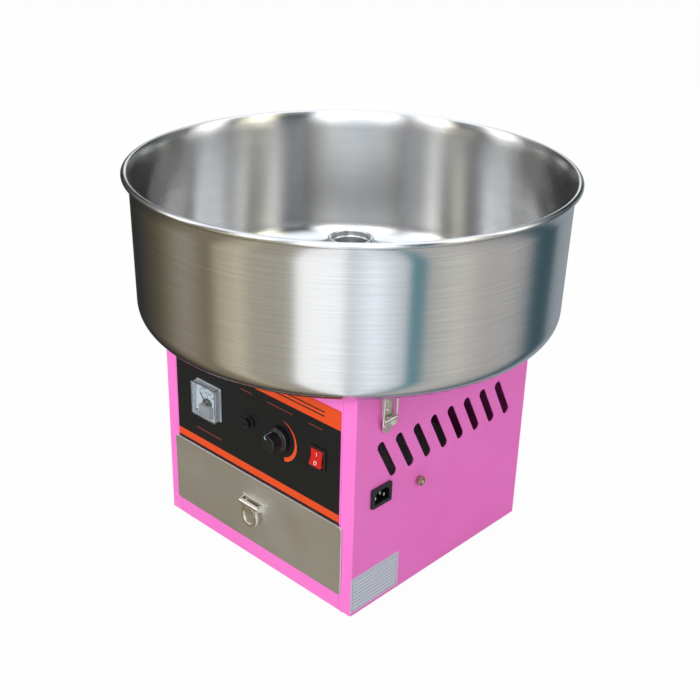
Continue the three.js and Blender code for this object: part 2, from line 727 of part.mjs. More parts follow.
// The paddle is a shallow V in front of its pivot and round behind it. At rest its upper half is in.
function rockerGeometry() {
  const reach = rocker.height / 2;
  const nose = rockerPivotY - switchFront + 0.6;
  const end = nose + reach * Math.tan(THREE.MathUtils.degToRad(rocker.tilt));
  const points = [
    [-nose, 0], [-end, -reach], [0, -reach], ...arc(0, 0, reach, -60, 60, 6), [0, reach], [-end, reach],
  ];
  const shape = sweep(outlineOf(points), "x", rocker.x - rocker.width / 2, rocker.x + rocker.width / 2);
  return shape.rotateX(-THREE.MathUtils.degToRad(rocker.tilt)).translate(0, rockerPivotY, controlZ);
}
add("switch_rocker", rockerGeometry(), finishes.redPlastic());

// ---------------------------------------------------------------- right side fittings

const sideFace = halfW + gap;
const inletX = [sideFace, sideFace + inlet.flange];
const socketOutline = [[-12, -8], [12, -8], [12, 3], [7.5, 8], [-7.5, 8], [-12, 3]]
  .map(([y, z]) => [y + inlet.y, z + inlet.z]);
add(
  "power_inlet",
  cut(
    join(
      sweep(roundedOutline(inlet.width, inlet.height, 2, inlet.y, inlet.z), "x", ...inletX),
      block(
        [sideFace - inlet.depth, sideFace + 0.5], [inlet.y - inlet.bodyHalf, inlet.y + inlet.bodyHalf],
        [inlet.z - inlet.bodyRise, inlet.z + inlet.bodyRise]
      )
    ),
    sweep(
      outlineOf(socketOutline), "x", inletX[1] - inlet.socket, inletX[1] + 1
    )
  ),
  finishes.blackPlastic()
);
add(
  "earth_terminal",
  join(
    rod(stud.radius, "x", insideX - 5, halfW + stud.length, [stud.y, stud.z], 14),
    rod(5, "x", insideX - 5, insideX - gap, [stud.y, stud.z], 6),
    rod(stud.nutRadius, "x", sideFace + 1.5, sideFace + 6, [stud.y, stud.z], 14),
    rod(stud.nutRadius - 0.8, "x", sideFace, sideFace + 2, [stud.y, stud.z], 14)
  ),
  finishes.brass()
);

// ---------------------------------------------------------------- toggle latches

// Everything here is made for the front right latch, in X, the distance Y from its middle and Z.
// The other three are turned or mirrored copies.
const pivot = [halfW + latch.stand, latch.pivotZ];
const crankPin = [pivot[0] - latch.overCentre, latch.pivotZ - latch.crank];
const barX = crankPin[0] + latch.lean;
const wireY = latch.cheekHalf + gap + latch.wire;

function latchBase() {
  const plateX = [sideFace, sideFace + latch.plate];
  const ear = new THREE.Shape();
  ear.moveTo(plateX[0], pivot[1] - latch.eye);
  ear.lineTo(pivot[0], pivot[1] - latch.eye);
  ear.absarc(pivot[0], pivot[1], latch.eye, -Math.PI / 2, Math.PI / 2);
  ear.lineTo(plateX[0], pivot[1] + latch.eye);
  const half = latch.earHalf;
  return join(
    block(plateX, [-half - 1.5, half + 1.5], [latch.pivotZ - latch.eye, latch.plateTop]),
    sweep(ear, "y", half - latch.ear, half),
    sweep(ear, "y", -half, -half + latch.ear),
    rod(latch.pin, "y", -latch.cheekHalf, latch.cheekHalf, pivot, 12),
    rod(latch.barrel, "y", -half, half, pivot, 12)
  );
}

// The lever hangs flat on the cabinet: two cheeks on the pin and a tongue with a round tip.
function latchLever() {
  const half = latch.cheekHalf;
  const tongueX = [sideFace + 0.7, sideFace + 0.7 + latch.cheek];
  const tongueTop = pivot[1] - latch.tongueDrop;
  const tipZ = pivot[1] - latch.tip;
  const cheek = new THREE.Shape();
  cheek.absarc(pivot[0], pivot[1], latch.eye, 0, Math.PI);
  cheek.lineTo(pivot[0] - 3.4, tongueTop);
  cheek.lineTo(tongueX[0], tongueTop);
  cheek.lineTo(tongueX[0], tipZ + 6);
  cheek.lineTo(tongueX[1], tipZ + 6);
  cheek.absarc(crankPin[0], crankPin[1], latch.eye, -Math.PI / 4, 0);
  const tongue = new THREE.Shape();
  tongue.moveTo(-half, tongueTop);
  tongue.lineTo(-half, tipZ + 8);
  tongue.absarc(0, tipZ + 9, 9, 1.05 * Math.PI, 1.95 * Math.PI);
  tongue.lineTo(half, tipZ + 8);
  tongue.lineTo(half, tongueTop);
  const holes = [
    rod(latch.pin + gap, "y", -half - 1, half + 1, pivot, 12),
    rod(latch.wire + gap, "y", -half - 1, half + 1, crankPin, 12),
  ];
  return cut(
    join(
      sweep(cheek, "y", half - latch.cheek, half),
      sweep(cheek, "y", -half, -half + latch.cheek),
      sweep(tongue, "x", ...tongueX)
    ),
    ...holes
  );
}

// A bent wire: up from one crank pin, across the bar and down to the other.
function latchLoop() {
  const stub = latch.cheekHalf - latch.cheek + 0.1;
  const ball = (x, y, z) => new THREE.SphereGeometry(latch.wire, 8, 4).translate(x, y, z);
  const rise = latch.loopTop - crankPin[1];
  const lean = Math.atan2(latch.lean, rise);
  const side = Math.hypot(latch.lean, rise);
  const upright = (y) =>
    rod(latch.wire, "z", 0, side, [0, 0], 8).rotateY(lean).translate(crankPin[0], y, crankPin[1]);
  return join(
    rod(latch.wire, "y", -wireY, wireY, [barX, latch.loopTop], 8),
    ...[-wireY, wireY].flatMap((y) => [upright(y), ball(barX, y, latch.loopTop)]),
    ...[-wireY, wireY].map((y) => ball(crankPin[0], y, crankPin[1])),
    rod(latch.wire, "y", stub, wireY, crankPin, 8),
    rod(latch.wire, "y", -wireY, -stub, crankPin, 8)
  );
}

const latchPieces = [
  ["latch_base", latchBase(), finishes.nickel], ["latch_lever", latchLever(), finishes.nickel],
  ["latch_loop", latchLoop(), finishes.nickel],
];
for (const [place, sx, sy] of corners) {
  const corner = new THREE.Group();
  corner.position.y = sy * latch.y;
  corner.rotation.z = sx < 0 ? Math.PI : 0;
  machine.add(corner);
  for (const [name, geometry, material] of latchPieces) add(`${name}_${place}`, geometry, material(), corner);
}

// ---------------------------------------------------------------- bowl

function bowlOutline() {
  const { radius, wall, cornerRadius, beadRadius, rimRadius, collarRadius, collarHeight } = bowl;
  const beadR = rimRadius - beadRadius;
  const beadZ = bowlBottom + bowl.height - beadRadius;
  const cornerR = radius - cornerRadius;
  const cornerZ = bowlBottom + cornerRadius;
  const wallTop = beadZ - beadRadius - 4;
  return [
    [collarRadius, bowlBottom],
    ...arc(cornerR, cornerZ, cornerRadius, -90, 0, 5),
    [radius + bowl.flare, wallTop],
    ...arc(beadR, beadZ, beadRadius, -120, 150, 9),
    [radius + bowl.flare - wall, wallTop],
    ...arc(cornerR, cornerZ, cornerRadius - wall, 0, -90, 5),
    [collarRadius + wall, bowlBottom + wall],
    [collarRadius + wall, bowlBottom + collarHeight],
    [collarRadius, bowlBottom + collarHeight],
  ];
}

// Four hooks are welded under the bowl; each latch loop's bar lies in the trough of one.
function bowlHook() {
  const t = hook.thickness;
  const troughZ = latch.loopTop - latch.wire - gap;
  const stemX = sideFace + latch.plate + gap;
  const lipX = barX + latch.wire + gap + t;
  const topFace = bowlBottom + hook.weld;
  const outline = outlineOf([
    [stemX, troughZ - t], [lipX, troughZ - t], [lipX, latch.loopTop + hook.rise],
    [lipX - t, latch.loopTop + hook.rise], [lipX - t, troughZ], [stemX + t, troughZ],
    [stemX + t, topFace - t], [stemX + hook.foot, topFace - t], [stemX + hook.foot, topFace],
    [stemX, topFace],
  ]);
  return sweep(outline, "y", -hook.halfWidth, hook.halfWidth);
}
const hooks = corners.map(([, sx, sy]) =>
  bowlHook().rotateZ(sx < 0 ? Math.PI : 0).translate(0, sy * latch.y, 0)
);
add("bowl", join(turned(bowlOutline(), 48), ...hooks), finishes.bowlSteel());
add("bowl_gasket", tube(gasket.inner, gasket.outer, gasketBottom, bowlBottom - gap, 36), finishes.rubber());

export default machine;
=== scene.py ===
# %% [markdown]
# # A cotton candy machine, dressed for the studio
#
# The engineering model gives every solid its exact place. This notebook gives the
# machine its looks: fine turned and pressed surfaces where the coarse solids would show
# their flats, and a finish on every piece, built from shader nodes.

# %% Load the frame
import json
import math

import bpy
import numpy as np
from mathutils import Matrix


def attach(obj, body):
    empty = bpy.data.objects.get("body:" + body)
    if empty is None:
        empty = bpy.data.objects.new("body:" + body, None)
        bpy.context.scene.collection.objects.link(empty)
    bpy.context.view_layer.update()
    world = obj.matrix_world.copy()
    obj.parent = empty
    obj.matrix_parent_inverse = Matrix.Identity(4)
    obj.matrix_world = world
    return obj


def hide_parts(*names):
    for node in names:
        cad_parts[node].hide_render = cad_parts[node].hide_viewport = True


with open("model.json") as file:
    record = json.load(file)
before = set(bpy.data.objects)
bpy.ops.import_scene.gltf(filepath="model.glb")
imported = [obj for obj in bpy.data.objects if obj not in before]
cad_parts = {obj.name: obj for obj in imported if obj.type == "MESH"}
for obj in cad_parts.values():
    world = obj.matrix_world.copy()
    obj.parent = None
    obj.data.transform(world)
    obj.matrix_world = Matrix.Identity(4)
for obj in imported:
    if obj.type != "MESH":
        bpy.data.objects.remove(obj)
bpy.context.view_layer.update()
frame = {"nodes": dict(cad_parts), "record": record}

MM = 0.001

# %% [markdown]
# ## The camera
#
# A photographer stands in front of the machine's right corner and looks down into the
# bowl. The camera's place and its three directions are written as a matrix, because a
# matrix can't be misread the way three turn angles can. The lens is a little longer
# than a normal one, which keeps the bowl's ellipse calm.

# %% Camera
CAMERA_PLACE = (0.85707, -0.91294, 0.84203)
CAMERA_AXES = (
    (0.72202851, 0.69141025, 0.02503411),
    (-0.31533953, 0.29666612, 0.90141566),
    (0.61582125, -0.65874205, 0.43223038),
)
FOCAL_MM = 58.25

camera_data = bpy.data.cameras.new("studio_camera")
camera_data.sensor_width = 36.0
camera_data.lens = FOCAL_MM
camera = bpy.data.objects.new("studio_camera", camera_data)
bpy.context.scene.collection.objects.link(camera)
turn = np.eye(4)
turn[:3, :3] = np.array(CAMERA_AXES).T
turn[:3, 3] = CAMERA_PLACE
camera.matrix_world = Matrix(turn.tolist())
bpy.context.scene.camera = camera
bpy.context.scene.view_settings.view_transform = "Standard"
print("camera", FOCAL_MM, "mm")

# %% [markdown]
# ## Colours and nodes
#
# Colours are picked as sRGB hex values, the way a paint card or a web page gives them.
# Shaders count light in linear values, so one function does the change. A second
# function adds any node, sets it up and joins it to what feeds it.

# %% Colour and node helpers
def linear(hex_colour):
    """sRGB hex to linear RGBA: below 0.04045 divide by 12.92, above it ((c + 0.055) / 1.055) ** 2.4."""
    value = np.array([int(hex_colour[i:i + 2], 16) for i in (1, 3, 5)]) / 255
    low = value / 12.92
    high = ((value + 0.055) / 1.055) ** 2.4
    return (*np.where(value <= 0.04045, low, high).tolist(), 1.0)


def add(tree, kind, feeds=None, **settings):
    """Adds one node: settings are its own properties, feeds maps an input to a value or to a socket."""
    node = tree.nodes.new("ShaderNode" + kind)
    for key, value in settings.items():
        setattr(node, key, value)
    for key, value in (feeds or {}).items():
        if isinstance(value, bpy.types.NodeSocket):
            tree.links.new(value, node.inputs[key])
        else:
            node.inputs[key].default_value = value
    return node


def ramp(node, stops):
    """Gives a colour ramp its stops, as (place, hex) pairs in rising order."""
    elements = node.color_ramp.elements
    while len(elements) > 1:
        elements.remove(elements[-1])
    elements[0].position, elements[0].color = stops[0][0], linear(stops[0][1])
    for place, colour in stops[1:]:
        elements.new(place).color = linear(colour)
    return node


FINISHES = {}


def finish(name, build):
    """Makes a material and lets build(tree, coordinates in mm) return its shader socket."""
    material = bpy.data.materials.new(name)
    material.use_nodes = True
    tree = material.node_tree
    tree.nodes.clear()
    place = add(tree, "TexCoord").outputs["Object"]
    in_mm = add(tree, "VectorMath", {0: place, 1: (1000.0,) * 3}, operation="MULTIPLY")
    shader = build(tree, in_mm.outputs[0])
    add(tree, "OutputMaterial", {"Surface": shader})
    FINISHES[name] = material
    return material


# %% [markdown]
# ## The room that the steel sees
#
# Polished steel has no colour of its own to speak of: it shows the room. Round the bowl
# that room is a row of upright bands, a bright window, pale walls, a blue-green door
# frame and dark corners. It could be built from lamps and cards, but two ramps over the
# compass direction in the world's shader, one for the walls up to eye level and one for
# what is higher, give the same bands with no objects to hide. Only glossy rays see them.
# Matt surfaces get one plain soft level, and the camera and clear plastic see white.

# %% World
ROOM_BANDS = [  # compass degrees from +X towards +Y, colour of that wall
    (-180, "#3A3834"), (-163, "#57503F"), (-150, "#776F5C"), (-137, "#847B69"),
    (-122, "#6E6652"), (-116, "#B4AC94"), (-104, "#BDB6A0"), (-98, "#8F8A78"),
    (-82, "#A39D90"), (-76, "#B0AEA8"), (-72, "#FFFFFF"), (-52, "#FBFEFF"),
    (-46, "#CCD2D6"), (-34, "#E8F0F8"), (-17.5, "#C9CDD2"), (-15.5, "#5E8C96"),
    (-9.5, "#54828C"), (-6.5, "#AEB0AF"), (12, "#BDBBB6"), (38, "#A8A5A2"),
    (54, "#96979A"), (62, "#3E5760"), (80, "#2C464F"), (84, "#8B949A"),
    (112, "#8E969B"), (128, "#8C9092"), (146, "#565656"), (160, "#242424"),
    (172, "#303030"), (180, "#3A3834"),
]
UPPER_BANDS = [  # the same walls above eye level: windows, lamps and dark gaps
    (-180, "#303030"), (-168, "#4A4A4A"), (-153, "#505050"), (-138, "#E4E4E4"), (-123, "#4A4A4A"),
    (-108, "#303030"), (-97, "#F0EDE0"), (-93, "#D0D0D0"), (-78, "#686868"), (-64, "#E0E2E4"),
    (-49, "#C0C8CE"), (-34, "#FFFFFF"), (-20, "#101112"), (-5, "#141412"), (7, "#DCD8C0"),
    (25, "#0A0A0A"), (40, "#E4E4E0"), (55, "#404040"), (70, "#444444"), (85, "#202224"),
    (100, "#101112"), (118, "#101112"), (130, "#A0A4A6"), (146, "#303030"), (162, "#141414"),
    (176, "#303030"), (180, "#303030"),
]
ROOM_LIGHT, UPPER_LIGHT = 1.36, 4.4  # how strongly the lower and the higher walls shine
UPPER_FADE = (-0.05, 0.15)  # upward share of a direction over which the higher walls take over
CEILING_FADE = (0.45, 0.9)  # and over which the ceiling does
CEILING = "#9EA2A6"
SOFT_LEVEL = 0.5  # what matt surfaces see

world = bpy.data.worlds.new("studio_room")
bpy.context.scene.world = world
world.use_nodes = True
sky = world.node_tree
sky.nodes.clear()
direction = add(sky, "SeparateXYZ", {0: add(sky, "TexCoord").outputs["Generated"]})
compass = add(sky, "Math", {0: direction.outputs["Y"], 1: direction.outputs["X"]}, operation="ARCTAN2")
along = add(sky, "MapRange", {
    "Value": compass.outputs[0], "From Min": -math.pi, "From Max": math.pi,
})
lower, upper = (
    ramp(
        add(sky, "ValToRGB", {0: along.outputs[0]}),
        [((degrees + 180) / 360, colour) for degrees, colour in bands],
    )
    for bands in (ROOM_BANDS, UPPER_BANDS)
)
above = add(sky, "MapRange", {
    "Value": direction.outputs["Z"], "From Min": UPPER_FADE[0], "From Max": UPPER_FADE[1],
}, interpolation_type="SMOOTHSTEP")
walls = add(sky, "Mix", {
    "Factor": above.outputs[0], 6: lower.outputs["Color"], 7: upper.outputs["Color"],
}, data_type="RGBA")
level = add(sky, "MapRange", {"Value": above.outputs[0], "To Min": ROOM_LIGHT, "To Max": UPPER_LIGHT})
rise = add(sky, "MapRange", {
    "Value": direction.outputs["Z"], "From Min": CEILING_FADE[0], "From Max": CEILING_FADE[1],
}, interpolation_type="SMOOTHSTEP")
room = add(sky, "Mix", {
    "Factor": rise.outputs[0], 6: walls.outputs[2], 7: linear(CEILING),
}, data_type="RGBA")
seen = add(sky, "LightPath")
clear_view = add(sky, "Math", {
    0: seen.outputs["Is Camera Ray"], 1: seen.outputs["Is Transmission Ray"],
}, operation="MAXIMUM")
room_glow = add(sky, "Background", {"Color": room.outputs[2], "Strength": level.outputs[0]})
soft_glow = add(sky, "Background", {"Color": (1, 1, 1, 1), "Strength": SOFT_LEVEL})
white_glow = add(sky, "Background", {"Color": (1, 1, 1, 1), "Strength": 1.0})
lit = add(sky, "MixShader", {
    0: seen.outputs["Is Glossy Ray"], 1: soft_glow.outputs[0], 2: room_glow.outputs[0],
})
shown = add(sky, "MixShader", {
    0: clear_view.outputs[0], 1: lit.outputs[0], 2: white_glow.outputs[0],
})
add(sky, "OutputWorld", {"Surface": shown.outputs[0]})
print("room bands:", len(ROOM_BANDS), "and", len(UPPER_BANDS))

# %% [markdown]
# ## Lamps and floor
#
# One large soft lamp stands in front and lights the control panel more than the side,
# so that the two pink faces read apart. A weaker one lifts the side, and a third lights
# the machine from behind. The steel doesn't show them, because it has its own room. The
# floor is a pale disc that stays white for the camera and keeps a faint shadow.

# %% Lamps
def soft_lamp(name, compass_deg, height_deg, distance, size, watts):
    """An area lamp on a sphere round the machine, facing its middle."""
    data = bpy.data.lights.new(name, "AREA")
    data.shape = "DISK"
    data.size = size
    data.energy = watts
    lamp = bpy.data.objects.new(name, data)
    a, e = math.radians(compass_deg), math.radians(height_deg)
    away = np.array([math.cos(a) * math.cos(e), math.sin(a) * math.cos(e), math.sin(e)])
    side = np.cross([0, 0, 1], away)
    side /= np.linalg.norm(side)
    place = np.eye(4)
    place[:3, :3] = np.column_stack([side, np.cross(away, side), away])
    place[:3, 3] = away * distance + (0, 0, 0.2)
    lamp.matrix_world = Matrix(place.tolist())
    lamp.visible_glossy = False
    bpy.context.scene.collection.objects.link(lamp)


LAMPS = [  # name, compass and height in degrees, distance and size in metres, watts
    ("key_lamp", -84, 26, 2.6, 1.1, 36),
    ("side_lamp", 6, 30, 2.8, 1.4, 11),
    ("back_lamp", 120, 40, 2.8, 1.6, 26),
]
for settings in LAMPS:
    soft_lamp(*settings)
print("lamps:", len(LAMPS))

# %% Floor
FLOOR_RADIUS = 9.0
FLOOR_OWN_WHITE = 0.97  # the rest of what the camera sees is lit floor, with its shadow


def floor_finish(tree, mm):
    """A white sweep: for the camera mostly its own white, for light a matt pale floor."""
    matt = add(tree, "BsdfDiffuse", {"Color": linear("#E4E4E4")})
    white = add(tree, "Emission", {"Color": (1, 1, 1, 1), "Strength": 1.0})
    seen_by = add(tree, "LightPath")
    share = add(tree, "Math", {0: seen_by.outputs["Is Camera Ray"], 1: FLOOR_OWN_WHITE}, operation="MULTIPLY")
    return add(tree, "MixShader", {0: share.outputs[0], 1: matt.outputs[0], 2: white.outputs[0]}).outputs[0]


ring = np.linspace(0, 2 * math.pi, 96, endpoint=False)
floor_mesh = bpy.data.meshes.new("studio_floor")
floor_mesh.from_pydata(
    np.column_stack([FLOOR_RADIUS * np.cos(ring), FLOOR_RADIUS * np.sin(ring), ring * 0]).tolist(),
    [], [list(range(len(ring)))],
)
floor = bpy.data.objects.new("studio_floor", floor_mesh)
bpy.context.scene.collection.objects.link(floor)
floor_mesh.materials.append(finish("white_floor", floor_finish))
floor.visible_glossy = False

# %% [markdown]
# ## Finishes
#
# Each finish starts from the real material and from how its surface was made. All
# patterns are sized in millimetres on the piece's own coordinates, so they stay put
# when a piece moves.
#
# Powder coat is a thick melted paint. It is glossy but never flat: it dries into soft
# waves about 2 mm apart, called orange peel, which break up the lamp's reflection.

# %% Powder coat
def powder_coat(tree, mm):
    """Pink polyester powder on sheet steel: slight tone drift, orange peel 2 mm apart."""
    drift = add(tree, "TexNoise", {"Vector": mm, "Scale": 1 / 60, "Detail": 2.0})
    tone = ramp(add(tree, "ValToRGB", {0: drift.outputs[0]}), [(0.3, "#F977D1"), (0.7, "#FC7ED6")])
    peel = add(tree, "TexNoise", {"Vector": mm, "Scale": 1 / 2.0, "Detail": 1.5})
    waves = add(tree, "Bump", {"Strength": 0.12, "Distance": 0.0002, "Height": peel.outputs[0]})
    return add(tree, "BsdfPrincipled", {
        "Base Color": tone.outputs[0], "Roughness": 0.36, "IOR": 1.5, "Normal": waves.outputs[0],
    }).outputs[0]


finish("powder_coat_pink", powder_coat)

# %% [markdown]
# The bowl is stainless sheet, pressed and then turned against an abrasive belt. The
# belt leaves fine lines round the wall. They blur a reflection up and down but not
# sideways, which is why the room shows as upright bands. An anisotropic shader does
# that without modelling the lines. Coarser lines, about 1 mm apart, show singly.

# %% Stainless steel
def turned_lines(tree, mm, pitch, length):
    """Noise that is slow along the turning direction and fine across it, where it counts the distance
    from the axis plus the height."""
    axes = add(tree, "SeparateXYZ", {0: mm})
    flat = add(tree, "CombineXYZ", {"X": axes.outputs["X"], "Y": axes.outputs["Y"]})
    radius = add(tree, "VectorMath", {0: flat.outputs[0]}, operation="LENGTH")
    across = add(tree, "Math", {0: radius.outputs["Value"], 1: axes.outputs["Z"]}, operation="ADD")
    fine = add(tree, "Math", {0: across.outputs[0], 1: length / pitch}, operation="MULTIPLY")
    stretched = add(tree, "CombineXYZ", {
        "X": axes.outputs["X"], "Y": axes.outputs["Y"], "Z": fine.outputs[0],
    })
    return add(tree, "TexNoise", {
        "Vector": stretched.outputs[0], "Scale": 1 / length, "Detail": 3.0, "Roughness": 0.6,
    }).outputs[0]


DULL_RISE = (297.0, 322.0)  # mm of height between the bowl's brighter floor and its wall


def spun_metal(colours, rough, lines_pitch, anisotropy, depth):
    """A metal finished on a lathe: lines round the Z axis, and roughness that goes from rough[0] to
    rough[1] over DULL_RISE."""
    def build(tree, mm):
        lines = turned_lines(tree, mm, lines_pitch, 70.0)
        height = add(tree, "SeparateXYZ", {0: mm})
        tone = ramp(add(tree, "ValToRGB", {0: lines}), [(0.3, colours[0]), (0.7, colours[1])])
        dull = add(tree, "MapRange", {
            "Value": height.outputs["Z"], "From Min": DULL_RISE[0], "From Max": DULL_RISE[1],
            "To Min": rough[0], "To Max": rough[1],
        })
        scratch = add(tree, "Bump", {"Strength": depth, "Distance": 0.00005, "Height": lines})
        around = add(tree, "Tangent", direction_type="RADIAL", axis="Z")
        return add(tree, "BsdfPrincipled", {
            "Base Color": tone.outputs[0], "Metallic": 1.0, "Roughness": dull.outputs[0],
            "Anisotropic": anisotropy, "Anisotropic Rotation": 0.25,
            "Normal": scratch.outputs[0], "Tangent": around.outputs[0],
        }).outputs[0]
    return build


finish("bowl_stainless_spun", spun_metal(("#C9C9C9", "#D6D6D7"), (0.09, 0.2), 1.0, 1.0, 0.18))
finish("head_aluminium_turned", spun_metal(("#D6D8DA", "#E2E4E6"), (0.3, 0.3), 0.6, 0.85, 0.3))


def brushed_drawer(tree, mm):
    """Satin stainless sheet, belt-ground left to right: long lines 0.5 mm apart along X."""
    stretched = add(tree, "VectorMath", {0: mm, 1: (1 / 90, 1.0, 2.0)}, operation="MULTIPLY")
    lines = add(tree, "TexNoise", {"Vector": stretched.outputs[0], "Scale": 1.0, "Detail": 2.0})
    cloud = add(tree, "TexNoise", {"Vector": mm, "Scale": 1 / 70, "Detail": 2.0})
    tone = ramp(add(tree, "ValToRGB", {0: lines.outputs[0]}), [(0.25, "#DEDEE0"), (0.75, "#E8E8EA")])
    dull = add(tree, "MapRange", {
        "Value": cloud.outputs[0], "From Min": 0.3, "From Max": 0.7, "To Min": 0.4, "To Max": 0.48,
    })
    scratch = add(tree, "Bump", {"Strength": 0.2, "Distance": 0.00005, "Height": lines.outputs[0]})
    return add(tree, "BsdfPrincipled", {
        "Base Color": tone.outputs[0], "Metallic": 1.0, "Roughness": dull.outputs[0],
        "Normal": scratch.outputs[0],
    }).outputs[0]


finish("drawer_stainless_satin", brushed_drawer)

# %% [markdown]
# The small hardware is plated. Nickel over a casting or a pressing is bright and warm,
# with a faint ripple of the metal under it. Zinc plate is greyer and duller and shows
# crystal patches. The motor's body is thick enamel, and the earth terminal's brass has a
# thin wash of nickel, so it looks pale.

# %% Plated and plain metals
def plated(colours, rough, patch_mm, ripple):
    """A metal whose tone and roughness drift over patches of patch_mm, with a fine ripple."""
    def build(tree, mm):
        patch = add(tree, "TexNoise", {"Vector": mm, "Scale": 1 / patch_mm, "Detail": 3.0})
        tone = ramp(add(tree, "ValToRGB", {0: patch.outputs[0]}), [(0.3, colours[0]), (0.7, colours[1])])
        dull = add(tree, "MapRange", {
            "Value": patch.outputs[0], "From Min": 0.3, "From Max": 0.7,
            "To Min": rough[0], "To Max": rough[1],
        })
        grit = add(tree, "TexNoise", {"Vector": mm, "Scale": 1 / 0.8, "Detail": 1.0})
        waves = add(tree, "Bump", {"Strength": ripple, "Distance": 0.00008, "Height": grit.outputs[0]})
        return add(tree, "BsdfPrincipled", {
            "Base Color": tone.outputs[0], "Metallic": 1.0, "Roughness": dull.outputs[0],
            "Normal": waves.outputs[0],
        }).outputs[0]
    return build


PLATED = [  # name, two tones, two roughnesses, patch in mm, ripple
    ("hardware_nickel_plated", ("#D6D1C7", "#E2DED5"), (0.28, 0.38), 6.0, 0.25),
    ("fittings_zinc_plated", ("#A9ABAD", "#C0C1C2"), (0.36, 0.5), 5.0, 0.2),
    ("terminal_brass", ("#9C927C", "#B8AE98"), (0.26, 0.38), 4.0, 0.15),
    ("heater_nichrome_oxidised", ("#5E5A55", "#8C7F70"), (0.45, 0.6), 3.0, 0.3),
    ("brush_carbon", ("#232325", "#343436"), (0.55, 0.7), 1.5, 0.5),
]
for name, *settings in PLATED:
    finish(name, plated(*settings))


def enamelled_motor(tree, mm):
    """Hammered grey enamel on the motor's can: dimples 1.5 mm apart under a clear gloss."""
    cells = add(tree, "TexVoronoi", {"Vector": mm, "Scale": 1 / 1.5})
    dimples = add(tree, "Bump", {"Strength": 0.4, "Distance": 0.0001, "Height": cells.outputs["Distance"]})
    return add(tree, "BsdfPrincipled", {
        "Base Color": linear("#4C5053"), "Roughness": 0.35, "IOR": 1.5, "Normal": dimples.outputs[0],
    }).outputs[0]


def wound_copper(tree, mm):
    """Lacquered copper wire lying in turns 0.8 mm apart, drawn as ridges round the axis."""
    turns = add(tree, "TexWave", {"Vector": mm, "Scale": 0.4, "Distortion": 1.0}, bands_direction="Z")
    ridges = add(tree, "Bump", {"Strength": 0.6, "Distance": 0.0003, "Height": turns.outputs[1]})
    return add(tree, "BsdfPrincipled", {
        "Base Color": linear("#A65F35"), "Metallic": 0.9, "Roughness": 0.35, "Normal": ridges.outputs[0],
    }).outputs[0]


finish("motor_enamel_hammered", enamelled_motor)
finish("winding_copper_lacquered", wound_copper)

# %% [markdown]
# Plastics and rubber differ mostly in how their mould was finished. Black ABS parts
# come from a lightly etched mould, so their gloss is soft. The switch paddle is clear
# red polycarbonate over white, so it looks deep. Rubber feet are almost matt.

# %% Plastics and rubber
def moulded(colour, rough, grain_mm, depth, ior=1.53, glow=0.0, coat=0.0):
    """A moulded plastic: one colour, a grain of grain_mm from the mould, an optional clear skin."""
    def build(tree, mm):
        grain = add(tree, "TexNoise", {"Vector": mm, "Scale": 1 / grain_mm, "Detail": 2.0})
        skin = add(tree, "Bump", {"Strength": depth, "Distance": 0.00008, "Height": grain.outputs[0]})
        tone = ramp(add(tree, "ValToRGB", {0: grain.outputs[0]}), [(0.2, colour[0]), (0.8, colour[1])])
        return add(tree, "BsdfPrincipled", {
            "Base Color": tone.outputs[0], "Roughness": rough, "IOR": ior, "Coat Weight": coat,
            "Subsurface Weight": glow, "Subsurface Scale": 0.001, "Normal": skin.outputs[0],
        }).outputs[0]
    return build


MOULDED = [  # name, two tones, roughness, grain in mm, depth of the grain
    ("knob_abs_black", ("#101216", "#17191E"), 0.32, 0.6, 0.25),
    ("fitting_abs_black", ("#0F1013", "#16171A"), 0.38, 0.6, 0.3),
    ("meter_base_white", ("#D9DEE2", "#E6EAED"), 0.4, 2.0, 0.1),
    ("meter_dial_card", ("#E3EDF6", "#EDF4FA"), 0.6, 1.0, 0.1),
    ("meter_ink_black", ("#15171B", "#1D2025"), 0.45, 1.0, 0.1),
    ("meter_shade_grey", ("#9EA1A4", "#ABADB0"), 0.4, 3.0, 0.1),
    ("mark_ink_white", ("#F2F2F2", "#FAFAFA"), 0.5, 1.0, 0.1),
    # the pointer's pale blue is partly print and partly a painted highlight on the knob's side
    ("mark_ink_pale_blue", ("#9CD2EC", "#B9E2F5"), 0.3, 1.0, 0.1),
    ("print_ink_orange", ("#DE4812", "#E65018"), 0.4, 1.0, 0.1),
    ("print_ink_dim_red", ("#6E2A22", "#7C3026"), 0.45, 1.0, 0.1),
]
for name, *settings in MOULDED:
    finish(name, moulded(*settings))
finish("foot_rubber_black", moulded(("#101010", "#1B1B1B"), 0.75, 0.8, 0.5, ior=1.52))
finish("rocker_polycarbonate_red", moulded(
    ("#C80D12", "#D61719"), 0.18, 3.0, 0.1, ior=1.58, glow=0.1, coat=0.3,
))


def clear_acrylic(tree, mm):
    """Cast acrylic, 1.6 mm thick, polished: bends light a little and keeps a sharp gloss."""
    haze = add(tree, "TexNoise", {"Vector": mm, "Scale": 1 / 8, "Detail": 2.0})
    dull = add(tree, "MapRange", {"Value": haze.outputs[0], "To Min": 0.02, "To Max": 0.07})
    return add(tree, "BsdfPrincipled", {
        "Base Color": linear("#F4F9FC"), "Roughness": dull.outputs[0], "IOR": 1.49,
        "Transmission Weight": 1.0,
    }).outputs[0]


finish("meter_cover_acrylic", clear_acrylic)

# %% [markdown]
# The control label is a polycarbonate film, printed on its back in flat inks and stuck
# to the panel. Its bands are level, so the height alone picks the ink: a black edge, an
# orange rule, the black field and a wide orange band that the bowl half hides.

# %% Printed films
LABEL_INKS = [  # height in mm where each ink starts
    (0.0, "#101013"), (129.5, "#E24B14"), (139.2, "#131417"), (245.3, "#E24B14"), (269.4, "#F27FCC"),
]
LABEL_SPAN = 280.0


